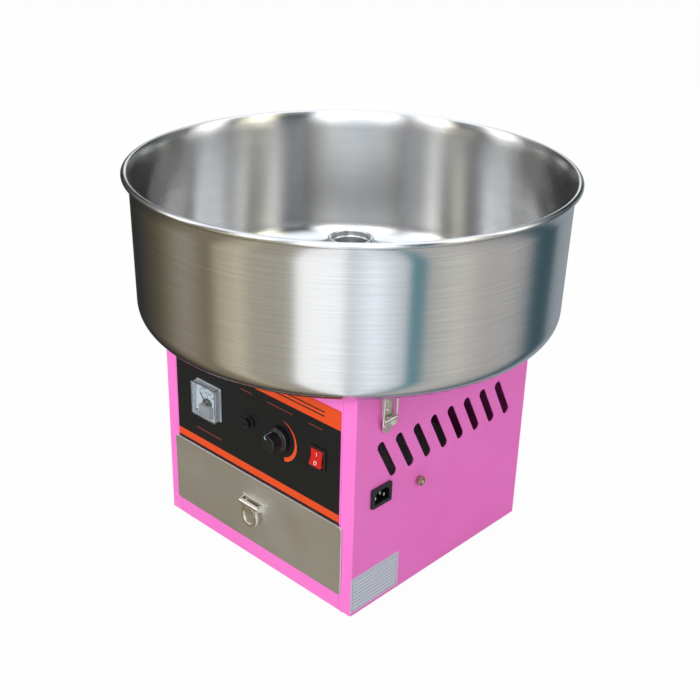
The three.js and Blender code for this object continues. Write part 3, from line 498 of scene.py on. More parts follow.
def printed_label(tree, mm):
    """Level bands by height, a constant ramp, under a satin film with a faint mottle."""
    height = add(tree, "SeparateXYZ", {0: mm})
    share = add(tree, "Math", {0: height.outputs["Z"], 1: LABEL_SPAN}, operation="DIVIDE")
    inks = ramp(add(tree, "ValToRGB", {0: share.outputs[0]}), [(z / LABEL_SPAN, c) for z, c in LABEL_INKS])
    inks.color_ramp.interpolation = "CONSTANT"
    mottle = add(tree, "TexNoise", {"Vector": mm, "Scale": 1 / 1.2, "Detail": 2.0})
    film = add(tree, "Bump", {"Strength": 0.08, "Distance": 0.0001, "Height": mottle.outputs[0]})
    return add(tree, "BsdfPrincipled", {
        "Base Color": inks.outputs[0], "Roughness": 0.5, "IOR": 1.58, "Specular IOR Level": 0.25,
        "Normal": film.outputs[0],
    }).outputs[0]


finish("label_film_printed", printed_label)

PLATE = {"y": (-155.0, -75.4), "z": (16.4, 63.4), "rule": 4.8, "line": 0.55}
PLATE_FIELD = (36.5, 20.3)  # half width and half height of the ruled field
PLATE_BORDER = ((37.1, 20.9), (37.6, 21.4))  # and of the border line's inner and outer edge


def rating_plate_film(tree, mm):
    """Silver film with plain grey rules every 4.8 mm inside a thin border, and no text."""
    axes = add(tree, "SeparateXYZ", {0: mm})
    away = []
    for letter in ("Y", "Z"):
        middle = sum(PLATE[letter.lower()]) / 2
        offset = add(tree, "Math", {0: axes.outputs[letter], 1: -middle}, operation="ADD")
        away.append(add(tree, "Math", {0: offset.outputs[0]}, operation="ABSOLUTE").outputs[0])

    def inside(half_sizes):
        """1 where a point lies within both half sizes of the plate's middle, else 0."""
        y_in, z_in = (
            add(tree, "Math", {0: distance, 1: half}, operation="LESS_THAN").outputs[0]
            for distance, half in zip(away, half_sizes)
        )
        return add(tree, "Math", {0: y_in, 1: z_in}, operation="MULTIPLY").outputs[0]

    row = add(tree, "Math", {0: axes.outputs["Z"], 1: PLATE["rule"]}, operation="FLOORED_MODULO")
    on_rule = add(tree, "Math", {0: row.outputs[0], 1: PLATE["line"]}, operation="LESS_THAN")
    rules = add(tree, "Math", {0: inside(PLATE_FIELD), 1: on_rule.outputs[0]}, operation="MULTIPLY")
    inner, outer = (inside(sizes) for sizes in PLATE_BORDER)
    border = add(tree, "Math", {0: outer, 1: inner}, operation="SUBTRACT")
    ink = add(tree, "Math", {0: rules.outputs[0], 1: border.outputs[0]}, operation="MAXIMUM")
    grain = add(tree, "TexNoise", {"Vector": mm, "Scale": 1 / 1.5, "Detail": 2.0})
    silver = ramp(add(tree, "ValToRGB", {0: grain.outputs[0]}), [(0.3, "#C9D2DE"), (0.7, "#D5DCE6")])
    tone = add(tree, "Mix", {
        "Factor": ink.outputs[0], 6: silver.outputs[0], 7: linear("#4A5360"),
    }, data_type="RGBA")
    return add(tree, "BsdfPrincipled", {"Base Color": tone.outputs[2], "Roughness": 0.42}).outputs[0]


finish("rating_plate_silver_film", rating_plate_film)
print("finishes:", len(FINISHES))

# %% [markdown]
# Every solid that stays from the engineering model gets its finish from the record's
# material slot. New pieces name the same finishes, so that a repaint reaches both.

# %% Finishes on the solids
SLOT_FINISH = {
    "powder_coat": "powder_coat_pink", "bowl_steel": "bowl_stainless_spun",
    "drawer_steel": "drawer_stainless_satin", "zinc_plate": "fittings_zinc_plated",
    "nickel_plate": "hardware_nickel_plated", "head_metal": "head_aluminium_turned",
    "motor_paint": "motor_enamel_hammered", "winding": "winding_copper_lacquered",
    "brass": "terminal_brass", "rubber": "foot_rubber_black", "black_plastic": "fitting_abs_black",
    "label_print": "label_film_printed", "red_plastic": "rocker_polycarbonate_red",
    "white_plastic": "meter_base_white", "clear_plastic": "meter_cover_acrylic",
    "carbon": "brush_carbon", "heater_ribbon": "heater_nichrome_oxidised",
}
for part in frame["record"]["subparts"]:
    solid = frame["nodes"][part["node"]]
    solid.data.materials.clear()
    solid.data.materials.append(FINISHES[SLOT_FINISH[part["material_slot"]]])

# %% [markdown]
# ## Surfaces from numbers
#
# Almost every visible part here is one of three shapes: a profile turned about an axis,
# an outline carried through a depth with its edge rounded, or a round wire along a
# path. All three are grids of points, so one function turns a grid into faces. The
# arrays are in millimetres until the mesh is made.

# %% Grids
AXIS_ORDER = {"x": (2, 0, 1), "y": (0, 2, 1), "z": (0, 1, 2)}


def grid(points, wrap_rows=False, wrap_columns=False, caps=False):
    """A grid of points to quads: row i joins row i + 1, column j joins column j + 1, and caps close the
    first and last row."""
    rows, columns, _ = points.shape
    i = np.arange(rows if wrap_rows else rows - 1)[:, None]
    j = np.arange(columns if wrap_columns else columns - 1)[None, :]
    i2, j2 = (i + 1) % rows, (j + 1) % columns
    quads = np.stack([i * columns + j, i2 * columns + j, i2 * columns + j2, i * columns + j2], -1)
    ends = []
    if caps:
        first = np.arange(columns)
        ends = [first, first[::-1] + (rows - 1) * columns]
    return points.reshape(-1, 3), quads.reshape(-1, 4), ends


def volume_of(points, quads, ends):
    """Signed volume by the divergence theorem: the sum of a . (b x c) / 6 over a fan of triangles."""
    fans = [quads[:, (0, 1, 2)], quads[:, (0, 2, 3)]]
    for end in ends:
        fans.append(np.column_stack([np.full(len(end) - 2, end[0]), end[1:-1], end[2:]]))
    a, b, c = (points[np.concatenate(fans)[:, k]] for k in range(3))
    return float(np.einsum("ij,ij->i", a, np.cross(b, c)).sum() / 6)


def closed(block):
    """Merges points that lie together, drops what collapses and turns the faces outwards."""
    points, quads, ends = block
    if volume_of(points, quads, ends) < 0:
        quads, ends = quads[:, ::-1], [end[::-1] for end in ends]
    _, first, same = np.unique(np.round(points, 5), axis=0, return_index=True, return_inverse=True)
    quads = same.reshape(-1)[quads]
    twins = quads == np.roll(quads, -1, axis=1)
    whole = quads[twins.sum(1) == 0]
    partly = quads[twins.sum(1) == 1]
    start = twins[twins.sum(1) == 1].argmax(1)
    corners = np.take_along_axis(partly, (start[:, None] + [1, 2, 3]) % 4, axis=1)
    faces = whole.tolist() + corners.tolist()
    for end in ends:
        loop = same.reshape(-1)[end]
        loop = loop[loop != np.roll(loop, 1)]
        if len(loop) > 2:
            faces.append(loop.tolist())
    return points[first], faces


def joined(name, parts):
    """Puts parts of points and faces, in mm, into one mesh in metres."""
    points, faces, start = [], [], 0
    for part_points, part_faces in parts:
        points.append(part_points)
        faces += [[k + start for k in face] for face in part_faces]
        start += len(part_points)
    mesh = bpy.data.meshes.new(name)
    mesh.from_pydata((np.concatenate(points) * MM).tolist(), [], faces)
    return mesh


def smooth(mesh, sharp_deg=32):
    """Smooth shading that breaks where two faces meet at more than sharp_deg."""
    mesh.polygons.foreach_set("use_smooth", [True] * len(mesh.polygons))
    mesh.set_sharp_from_angle(angle=math.radians(sharp_deg))
    return mesh


def mesh_of(name, blocks, sharp_deg=32):
    """Closes each block and puts them all into one smooth mesh."""
    return smooth(joined(name, map(closed, blocks)), sharp_deg)


def hand_over(obj, body, finish_name, stands_for=(), weighted=True):
    """Gives a piece its finish, the body it moves with and the solids it stands for."""
    obj.data.materials.clear()
    obj.data.materials.append(FINISHES[finish_name])
    if weighted:
        even = obj.modifiers.new("even_normals", "WEIGHTED_NORMAL")
        even.keep_sharp = True
    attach(obj, body)
    if stands_for:
        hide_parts(*stands_for)
    print(f"{obj.name}: {len(obj.data.polygons)} faces")


def piece(name, blocks, body, finish_name, stands_for=(), sharp_deg=32, weighted=True):
    """One finished piece from closed blocks."""
    obj = bpy.data.objects.new(name, mesh_of(name, blocks, sharp_deg))
    bpy.context.scene.collection.objects.link(obj)
    hand_over(obj, body, finish_name, stands_for, weighted)


# %% Turned, carried and bent shapes
def turned(profile, sides=96, axis="z", centre=(0, 0), flute=None):
    """(radius, height) points turned about an axis; flute(angle) is added to each radius by the share
    that the point gives third."""
    profile = np.asarray(profile, float)
    angle = np.linspace(0, 2 * math.pi, sides, endpoint=False)
    radius = profile[:, 0][:, None] + np.zeros(sides)[None, :]
    if flute is not None:
        radius = radius + flute(angle)[None, :] * profile[:, 2][:, None]
    height = profile[:, 1][:, None] + np.zeros(sides)[None, :]
    local = np.stack([
        centre[0] + radius * np.cos(angle), centre[1] + radius * np.sin(angle), height,
    ], -1)
    on_axis = profile[0, 0] == 0 and profile[-1, 0] == 0
    return grid(local[..., AXIS_ORDER[axis]], wrap_rows=not on_axis, wrap_columns=True)


def arc(cx, cy, radius, start_deg, end_deg, steps=6):
    """Points of a circle's arc from one angle to another."""
    angle = np.radians(np.linspace(start_deg, end_deg, steps + 1))
    return np.column_stack([cx + radius * np.cos(angle), cy + radius * np.sin(angle)])


def rounded_box(width, height, radius, cx=0.0, cy=0.0, steps=6):
    """The outline of a rectangle with round corners, anticlockwise."""
    w, h = width / 2 - radius, height / 2 - radius
    return np.concatenate([
        arc(cx + w, cy - h, radius, -90, 0, steps), arc(cx + w, cy + h, radius, 0, 90, steps),
        arc(cx - w, cy + h, radius, 90, 180, steps), arc(cx - w, cy - h, radius, 180, 270, steps),
    ])


def carried(outline, profile, axis="y", wrap=False):
    """An anticlockwise outline carried through (inset, depth) points: each point moves inwards along its
    mitred normal by the inset."""
    outline = np.asarray(outline, float)
    profile = np.asarray(profile, float)
    ahead = np.roll(outline, -1, axis=0) - outline
    ahead /= np.linalg.norm(ahead, axis=1)[:, None]
    behind = np.roll(ahead, 1, axis=0)
    inwards = np.column_stack([-ahead[:, 1], ahead[:, 0]])
    before = np.column_stack([-behind[:, 1], behind[:, 0]])
    mitre = (inwards + before) / (1 + (inwards * before).sum(1))[:, None]
    flat = outline[None] + mitre[None] * profile[:, 0][:, None, None]
    depth = np.broadcast_to(profile[:, 1][:, None, None], (*flat.shape[:2], 1))
    local = np.concatenate([flat, depth], -1)
    return grid(local[..., AXIS_ORDER[axis]], wrap_rows=wrap, wrap_columns=True, caps=not wrap)


def plate(outline, low, high, axis="y", round_low=0.0, round_high=0.0, steps=4):
    """A solid plate between two depths, its edges rounded by quarter circles."""
    a = np.radians(np.linspace(0, 90, steps + 1))
    start = [(0.0, low)] if not round_low else np.column_stack(
        [round_low * (1 - np.sin(a)), low + round_low * (1 - np.cos(a))])
    end = [(0.0, high)] if not round_high else np.column_stack(
        [round_high * (1 - np.sin(a[::-1])), high - round_high * (1 - np.cos(a[::-1]))])
    return carried(outline, np.concatenate([start, end]), axis)


def wire(path, radius, normal, sides=16):
    """A round wire along a flat path: each ring stands square to the path, in the plane of the path's
    normal and side. The ends are domed."""
    path = np.asarray(path, float)
    along = np.gradient(path, axis=0)
    along /= np.linalg.norm(along, axis=1)[:, None]
    up = np.asarray(normal, float) / np.linalg.norm(normal)
    side = np.cross(along, up)
    side /= np.linalg.norm(side, axis=1)[:, None]
    lift = np.radians([0, 30, 60])
    reach, narrow = radius * np.cos(lift), radius * np.sin(lift)
    size = np.concatenate([narrow, np.full(len(path), float(radius)), narrow[::-1]])
    head = path[0] - along[0] * reach[:, None]
    tail = path[-1] + along[-1] * reach[::-1, None]
    path = np.concatenate([head, path, tail])
    side = np.concatenate([np.repeat(side[:1], 3, 0), side, np.repeat(side[-1:], 3, 0)])
    angle = np.linspace(0, 2 * math.pi, sides, endpoint=False)
    rings = path[:, None] + size[:, None, None] * (
        side[:, None] * np.cos(angle)[None, :, None] + up[None, None] * np.sin(angle)[None, :, None])
    return grid(rings, wrap_columns=True)


def bent(corners, radius, steps=6):
    """A path through corner points, each inner corner replaced by a quadratic curve that starts radius
    before it and ends radius after it."""
    corners = np.asarray(corners, float)
    t = np.linspace(0, 1, steps + 1)[:, None]
    parts = [corners[:1]]
    for before, at, after in zip(corners[:-2], corners[1:-1], corners[2:]):
        a = at + (before - at) / np.linalg.norm(before - at) * radius
        b = at + (after - at) / np.linalg.norm(after - at) * radius
        parts.append((1 - t) ** 2 * a + 2 * t * (1 - t) * at + t ** 2 * b)
    parts.append(corners[-1:])
    return np.concatenate(parts)


def moved(block, turn_deg=0.0, shift=(0, 0, 0)):
    """A block turned about Z and then shifted."""
    points, quads, ends = block
    a = math.radians(turn_deg)
    rotate = np.array([[math.cos(a), -math.sin(a), 0], [math.sin(a), math.cos(a), 0], [0, 0, 1]])
    return points @ rotate.T + np.asarray(shift, float), quads, ends


def screw_head(x, y, z, radius=3.0, axis="y", outwards=-1.0):
    """A pan head: a flat-topped dome, its profile a quarter ellipse from the rim to 40% of the radius."""
    a = np.radians(np.linspace(0, 90, 6))
    rim = np.column_stack([radius * (0.55 + 0.45 * np.cos(a)), 0.55 * radius * np.sin(a)])
    place = {"y": (x, z, y), "x": (y, z, x)}[axis]
    profile = np.concatenate([[(0, 0)], rim, [(0, 0.55 * radius)]])
    profile[:, 1] = place[2] + outwards * profile[:, 1]
    return turned(profile, 24, axis, place[:2])


# %% [markdown]
# ## The bowl
#
# The bowl is a deep pan of 1.2 mm stainless sheet with a large bottom corner and an
# edge rolled outwards round a wire. Its profile runs up the outside, round the bead and
# down the inside, back to the collar at the middle. Turned in 256 steps it stays round
# even against a white background. The four hooks that the latches pull on are bent
# from strip and welded under the floor.

# %% Bowl
BOWL_BOTTOM = 294.2
BOWL_RADIUS, BOWL_CORNER, BOWL_WALL, BOWL_FLARE = 250.0, 30.0, 1.2, 2.0
BEAD_R, BEAD_Z, BEAD_RADIUS = 256.5, 472.2, 3.5
COLLAR_RADIUS, COLLAR_HEIGHT = 30.0, 12.0


def bowl_profile():
    """(radius, height): collar, floor, outer corner, wall, bead, inner wall, inner corner, floor."""
    corner_r, corner_z = BOWL_RADIUS - BOWL_CORNER, BOWL_BOTTOM + BOWL_CORNER
    wall_top = BEAD_Z - BEAD_RADIUS - 4
    rise_z = np.linspace(corner_z + 6, wall_top, 12)
    flare = BOWL_FLARE * ((rise_z - corner_z) / (wall_top - corner_z))
    outside = np.column_stack([BOWL_RADIUS + flare, rise_z])
    inside = outside[::-1] - (BOWL_WALL, 0)
    across = np.linspace(COLLAR_RADIUS + 8, corner_r - 12, 8)
    return np.concatenate([
        [(COLLAR_RADIUS, BOWL_BOTTOM)],
        np.column_stack([across, np.full(8, BOWL_BOTTOM)]),
        arc(corner_r, corner_z, BOWL_CORNER, -90, 0, 16), outside,
        arc(BEAD_R, BEAD_Z, BEAD_RADIUS, -120, 150, 22), inside,
        arc(corner_r, corner_z, BOWL_CORNER - BOWL_WALL, 0, -90, 16),
        np.column_stack([across[::-1], np.full(8, BOWL_BOTTOM + BOWL_WALL)]),
        arc(COLLAR_RADIUS + BOWL_WALL + 1.5, BOWL_BOTTOM + BOWL_WALL + 1.5, 1.5, 270, 180, 4),
        arc(COLLAR_RADIUS + BOWL_WALL / 2, BOWL_BOTTOM + COLLAR_HEIGHT - BOWL_WALL / 2, BOWL_WALL / 2,
            0, 180, 6),
    ])


LATCH_Y = 107.0
CORNERS = [
    ("front_left", -1, -1), ("front_right", 1, -1), ("rear_left", -1, 1), ("rear_right", 1, 1),
]
BAR = (166.6, 284.0)


def hook_block():
    """The hook's strip, 1.4 mm thick and 14 mm wide: foot under the floor, stem down, trough, lip up."""
    t, stem = 1.4, 161.8
    trough = BAR[1] - 1.3 - 0.3
    lip = BAR[0] + 1.3 + 0.3 + t
    top = BOWL_BOTTOM + 0.4
    outline = np.concatenate([
        arc(stem + 1.8, trough - t + 1.8, 1.8, 180, 270, 5),
        arc(lip - 1.8, trough - t + 1.8, 1.8, 270, 360, 5),
        arc(lip - t / 2, 286 - t / 2, t / 2, 0, 180, 6),
        arc(lip - t - 0.4, trough + 0.4, 0.4, 0, -90, 2), arc(stem + t + 0.4, trough + 0.4, 0.4, 270, 180, 2),
        arc(stem + t + 0.8, top - t - 0.8, 0.8, 180, 90, 3),
        [(stem + 20, top - t), (stem + 20, top)], arc(stem + 1.5, top - 1.5, 1.5, 90, 180, 4),
    ])
    return plate(outline, -7.0, 7.0, "y", 0.2, 0.2, 2)


bowl_blocks = [turned(bowl_profile(), 256)]
for _, sx, sy in CORNERS:
    bowl_blocks.append(moved(hook_block(), 0 if sx > 0 else 180, (0, sy * LATCH_Y, 0)))
piece("spun_bowl", bowl_blocks, "cabinet", "bowl_stainless_spun", ["bowl"], 40, False)
gasket_profile = np.concatenate([arc(120.8, 293.1, 0.8, 90, 270, 6), arc(149.2, 293.1, 0.8, -90, 90, 6)])
piece("bowl_seat_gasket", [turned(gasket_profile, 160)], "cabinet", "foot_rubber_black",
      ["bowl_gasket"])

# %% [markdown]
# ## The spinner head
#
# The cover is a cone of thin aluminium with a raised lip round the sugar hole. Sugar
# goes in at the middle and flies out through the slotted screen under the edge. The
# lip catches the light as a bright ring, so its edge is a true half circle.

# %% Spinner head cover
def head_profile():
    """(radius, height): well, underside, turned-down edge, dished cone, lip with a half-round edge."""
    cone_r = np.linspace(58.6, 31.0, 14)
    share = (58.6 - cone_r) / (58.6 - 31.0)
    cone_z = 367.4 + share * 13.4 - 1.1 * np.sin(math.pi * share)
    under_r = cone_r[::-1]
    under_z = cone_z[::-1] - 1.4
    return np.concatenate([
        [(21.5, 334.4), (22.9, 334.4), (22.9, 377.6), (25.9, 378.6)],
        np.column_stack([under_r, under_z]),
        [(58.6, 364.6), (58.6, 359.9), (60.0, 359.9), (60.0, 365.4)],
        arc(58.6, 365.6, 1.4, 10, 80, 4),
        np.column_stack([cone_r, cone_z])[1:],
        arc(29.6, 384.2, 2.2, 250, 180, 4),
        arc(25.0, 387.0, 2.0, 0, 180, 10),
        [(23.0, 382.6)], arc(21.9, 380.9, 0.6, 60, 170, 4), [(21.5, 380.0)],
    ])


piece("head_cone_cover", [turned(head_profile(), 160)], "spinner", "head_aluminium_turned",
      ["head_cover"], 38)

# %% [markdown]
# ## The sheet cabinet
#
# Each side is one folded sheet: a wide face and a narrow return at the front and the
# back. A fold is never a knife edge, its outer radius is about the sheet's thickness
# plus the tool's radius, here 2 mm. The bent strip of metal is an outline carried
# upwards. The slanted vents and the two openings are then punched through it with a
# boolean, because holes don't fit a grid.

# %% Side panels with vents
HALF_W, HALF_D, SHEET = 160.0, 155.0, 1.2
SIDE_Z = (12.0, 290.5)
RETURN_X = HALF_W - 18.5
FOLD_OUT, FOLD_IN = 2.0, 0.8
VENTS = {"count": 8, "pitch": 29.7, "first": -116.4, "top": 224.0, "rise": 50.0, "lean": 27.0, "width": 11.5}
PUNCH_X = (157.0, 162.0)  # a hole's tool reaches from inside the sheet to outside it


def folded_side(x_sign):
    """The U of the side sheet seen from above, folded at two corners."""
    ix, iy = HALF_W - SHEET, HALF_D - SHEET
    outline = np.concatenate([
        [(RETURN_X, -HALF_D)], arc(HALF_W - FOLD_OUT, -HALF_D + FOLD_OUT, FOLD_OUT, -90, 0, 6),
        arc(HALF_W - FOLD_OUT, HALF_D - FOLD_OUT, FOLD_OUT, 0, 90, 6), [(RETURN_X, HALF_D), (RETURN_X, iy)],
        arc(ix - FOLD_IN, iy - FOLD_IN, FOLD_IN, 90, 0, 4),
        arc(ix - FOLD_IN, -iy + FOLD_IN, FOLD_IN, 0, -90, 4),
        [(RETURN_X, -iy)],
    ])
    outline = outline * (x_sign, 1)
    if x_sign < 0:
        outline = outline[::-1]
    return plate(outline, *SIDE_Z, "z", 0.15, 0.15, 1)


def vent_cutter(index, x_sign):
    """A round-ended slot leaning back, as a plate through the wall."""
    lean = math.atan2(VENTS["lean"], VENTS["rise"])
    length = math.hypot(VENTS["lean"], VENTS["rise"])
    outline = rounded_box(VENTS["width"], length, VENTS["width"] / 2 - 0.01, steps=10)
    turn_by = np.array([[math.cos(lean), math.sin(lean)], [-math.sin(lean), math.cos(lean)]])
    y = VENTS["first"] + VENTS["lean"] / 2 + index * VENTS["pitch"]
    outline = outline @ turn_by + (y, VENTS["top"] - VENTS["rise"] / 2)
    low, high = sorted(x_sign * x for x in PUNCH_X)
    return plate(outline, low, high, "x")


def punched(name, body_blocks, cutters):
    """Blocks with holes: one exact boolean, its result kept as the mesh."""
    target = bpy.data.objects.new(name, mesh_of(name, body_blocks))
    tool = bpy.data.objects.new(name + "_tool", mesh_of(name + "_tool", cutters))
    for o in (target, tool):
        bpy.context.scene.collection.objects.link(o)
    cut = target.modifiers.new("punch", "BOOLEAN")
    cut.operation, cut.solver, cut.object = "DIFFERENCE", "EXACT", tool
    bpy.context.view_layer.update()
    result = bpy.data.meshes.new_from_object(target.evaluated_get(bpy.context.evaluated_depsgraph_get()))
    target.modifiers.clear()
    target.data = result
    bpy.data.objects.remove(tool)
    return target


INLET = {"y": -111.5, "z": 157.0, "hole": (27.6, 20.6)}
TERMINAL = {"y": -46.5, "z": 148.3, "hole": (5.4, 5.4)}
for side_name, x_sign in (("right", 1), ("left", -1)):
    cutters = [vent_cutter(k, x_sign) for k in range(VENTS["count"])]
    if x_sign > 0:
        for fitting, corner in ((INLET, 0.5), (TERMINAL, 2.69)):
            hole = rounded_box(*fitting["hole"], corner, fitting["y"], fitting["z"])
            cutters.append(plate(hole, *PUNCH_X, "x"))
    panel = punched(f"folded_side_{side_name}", [folded_side(x_sign)], cutters)
    smooth(panel.data)
    hand_over(panel, "cabinet", "powder_coat_pink", [f"side_panel_{side_name}"])

# %% [markdown]
# ## Feet, drawer and pull
#
# The feet are moulded rubber, screwed on through a hollow. The drawer front is a flat
# satin plate with small round corners. Its pull is a hinged ring: a pressed bracket with
# two ears, a pin, and a cast D-shaped ring that lies flat when it isn't used.

# %% Feet
FOOT_X, FOOT_Y = 136.0, 131.0
foot_profile = np.concatenate([
    [(4.0, 0.0)], arc(12.8, 1.2, 1.2, -90, 0, 4), arc(11.6, 10.5, 1.2, 0, 90, 4),
    [(1.6, 11.7), (1.6, 3.0), (4.0, 3.0)],
])
for place, sx, sy in CORNERS:
    block = moved(turned(foot_profile, 48), 0, (sx * FOOT_X, sy * FOOT_Y, 0))
    piece(f"rubber_foot_{place}", [block], "cabinet", "foot_rubber_black", [f"foot_{place}"])

# %% Drawer front
DRAWER_FACE = (-157.3, -155.3)
front_outline = rounded_box(290, 92, 5.0, 0, 80.5, 10)
piece("satin_drawer_front", [plate(front_outline, *DRAWER_FACE, "y", 0.6, 0.0)], "drawer",
      "drawer_stainless_satin", ["drawer_front"])

# %% Pull bracket
PIN_Y, PIN_Z, EAR_X = -163.6, 91.0, 17.0
BRACKET_Y = (-158.6, -157.6)


def ear_block(sx):
    """A round-ended tab standing out from the bracket plate, with its edge rounded."""
    outline = np.concatenate([
        [(BRACKET_Y[1], PIN_Z - 4.6), (BRACKET_Y[0], PIN_Z - 5)], arc(PIN_Y, PIN_Z, 2.6, 270, 90, 12),
        [(BRACKET_Y[0], PIN_Z + 5), (BRACKET_Y[1], PIN_Z + 4.6)],
    ])[::-1]
    low, high = sorted((sx * (EAR_X - 1.6), sx * EAR_X))
    return plate(outline, low, high, "x", 0.3, 0.3, 2)


def round_pin(x0, x1, radius, y, z, sides=28):
    """A pin along X with slightly domed ends."""
    profile = [(0, x0), (radius * 0.7, x0 + 0.12), (radius, x0 + 0.5), (radius, x1 - 0.5),
               (radius * 0.7, x1 - 0.12), (0, x1)]
    return turned(profile, sides, "x", (y, z))


bracket_plate = plate(rounded_box(40, 14, 3.0, 0, PIN_Z), *BRACKET_Y, "y", 0.35, 0.0)
rivets = [screw_head(sx * 11.5, BRACKET_Y[0], PIN_Z, 1.9) for sx in (-1, 1)]
piece("stamped_pull_bracket",
      [bracket_plate, ear_block(-1), ear_block(1), round_pin(-16.5, 16.5, 1.5, PIN_Y, PIN_Z), *rivets],
      "drawer", "hardware_nickel_plated", ["pull_bracket"])

# %% Pull ring
RING_Z, RING_R, RING_HOLE, RING_T = 75.0, 14.0, 9.4, 3.4


def ring_band():
    """A flat band round the finger hole: a rounded rectangle section carried round a circle."""
    section = rounded_box(RING_R - RING_HOLE, RING_T, 1.1, (RING_R + RING_HOLE) / 2, PIN_Y, 5)
    return turned(section, 96, "y", (0, RING_Z))


neck_outline = np.concatenate([
    [(-12.6, 81.5), (-9.4, 79.0), (9.4, 79.0), (12.6, 81.5)],
    arc(9.6, 90.0, 2.4, 0, 90, 5), arc(-9.6, 90.0, 2.4, 90, 180, 5),
])
ring_neck = plate(neck_outline, PIN_Y - RING_T / 2 + 0.3, PIN_Y + RING_T / 2 - 0.3, "y", 0.6, 0.6, 3)
knuckle_profile = [(1.8, -15.1), (2.7, -15.1), (3.0, -14.8), (3.0, 14.8), (2.7, 15.1), (1.8, 15.1)]
piece("cast_pull_ring", [ring_band(), ring_neck, turned(knuckle_profile, 40, "x", (PIN_Y, PIN_Z))],
      "ring_pull", "hardware_nickel_plated", ["pull_ring"])

# %% [markdown]
# ## The control panel
#
# From left to right sit a panel meter under a clear cover, a fuse holder, the heat
# knob and a rocker switch. The printed crescent beside the knob grows from a point to
# a bar, to show that more turn means more heat. Where the real panel carries words,
# plain thin rules stand in.

# %% Meter
METER_X, METER_Z, METER_SIZE = -78.0, 200.0, 44.0
COVER_Y = (-166.1, -158.4)
DIAL_Y = (-158.7, -158.15)
HUB_Z = 195.5
NUMBER_R = 14.2  # radius of the row of numbers round the hub
SCREW_OFF = 18.0  # cover screws, from the middle


def sector(cx, cz, inner, outer, start_deg, end_deg, low, high, steps=40):
    """Part of a flat ring: inner and outer may be lists of radii, spread evenly over the angle."""
    angle = np.radians(np.linspace(start_deg, end_deg, steps + 1))
    share = np.linspace(0, 1, steps + 1)
    r0, r1 = (
        np.interp(share, np.linspace(0, 1, np.size(radius)), np.atleast_1d(radius))
        for radius in (inner, outer)
    )
    ring_in = np.column_stack([cx + r0 * np.cos(angle), cz + r0 * np.sin(angle)])
    ring_out = np.column_stack([cx + r1 * np.cos(angle), cz + r1 * np.sin(angle)])
    n = steps + 1
    rows = np.stack([
        np.column_stack([ring_out[:, 0], np.full(n, low), ring_out[:, 1]]),
        np.column_stack([ring_in[:, 0], np.full(n, low), ring_in[:, 1]]),
        np.column_stack([ring_in[:, 0], np.full(n, high), ring_in[:, 1]]),
        np.column_stack([ring_out[:, 0], np.full(n, high), ring_out[:, 1]]),
    ], axis=1)
    return grid(rows, wrap_columns=True, caps=True)


def letters(text, size, x, z, y, thickness=0.06):
    """A generic mark set in the built-in type, as flat plates facing the front, centred on (x, z)."""
    curve = bpy.data.curves.new("mark", "FONT")
    curve.body, curve.size, curve.align_x, curve.align_y = text, size, "CENTER", "CENTER"
    curve.extrude = thickness / 2
    curve.resolution_u = 3
    holder = bpy.data.objects.new("mark", curve)
    bpy.context.scene.collection.objects.link(holder)
    bpy.context.view_layer.update()
    mesh = bpy.data.meshes.new_from_object(holder.evaluated_get(bpy.context.evaluated_depsgraph_get()))
    bpy.data.objects.remove(holder)
    flat = np.zeros(len(mesh.vertices) * 3)
    mesh.vertices.foreach_get("co", flat)
    flat = flat.reshape(-1, 3)
    faces = [list(p.vertices) for p in mesh.polygons]
    points = np.column_stack([flat[:, 0] + x, y - flat[:, 2], flat[:, 1] + z])
    return points, faces


def mark_piece(name, marks, body, finish_name):
    """Several letter plates as one piece, flat shaded and left as the type makes them."""
    obj = bpy.data.objects.new(name, joined(name, marks))
    bpy.context.scene.collection.objects.link(obj)
    hand_over(obj, body, finish_name, weighted=False)


cover_rings = np.concatenate([
    [(1.6, COVER_Y[0] + 1.6), (1.6, COVER_Y[1]), (0.0, COVER_Y[1])],
    np.column_stack([1.0 * (1 - np.cos(np.radians([0, 22, 45, 68, 90]))),
                     COVER_Y[0] + 1.0 * (1 - np.sin(np.radians([0, 22, 45, 68, 90])))]),
])
sharp_outline = rounded_box(METER_SIZE, METER_SIZE, 2.2, METER_X, METER_Z)
piece("meter_clear_cover", [carried(sharp_outline, cover_rings, "y")], "cabinet", "meter_cover_acrylic",
      ["meter_cover"], 32, False)
inner_wall = [(1.75, -158.7), (1.75, -163.8), (2.3, -163.8), (2.3, -158.7)]
piece("meter_inner_frame", [carried(sharp_outline, inner_wall, "y", wrap=True)], "cabinet",
      "meter_base_white", weighted=False)
piece("meter_dial", [plate(rounded_box(39.6, 39.6, 1.0, METER_X, METER_Z), *DIAL_Y, "y", 0.1, 0)], "cabinet",
      "meter_dial_card")

ink_y = (DIAL_Y[0] - 0.1, DIAL_Y[0] + 0.05)
scale_blocks = [sector(METER_X, HUB_Z, 19.4, 19.8, 45, 135, *ink_y)]
scale_blocks += [
    sector(METER_X, HUB_Z, 17.4 if k % 5 == 0 else 18.4, 19.6, a - (0.8 if k % 5 == 0 else 0.4),
           a + (0.8 if k % 5 == 0 else 0.4), *ink_y, steps=1)
    for k, a in enumerate(np.linspace(45, 135, 16))
]
scale_blocks.append(sector(METER_X, HUB_Z, 4.5, 7.4, 0, 180, DIAL_Y[0] - 1.4, DIAL_Y[0] + 0.05, 24))
piece("meter_scale_print", scale_blocks, "cabinet", "meter_ink_black", weighted=False)
numbers = [
    letters(text, 3.6, METER_X + NUMBER_R * math.cos(math.radians(a)),
            HUB_Z + NUMBER_R * math.sin(math.radians(a)), ink_y[0])
    for text, a in (("0", 131), ("100", 104), ("200", 76), ("300", 47))
]
numbers.append(letters("V", 4.2, METER_X, HUB_Z + 10.4, ink_y[0]))
mark_piece("meter_scale_numbers", numbers, "cabinet", "meter_ink_black")
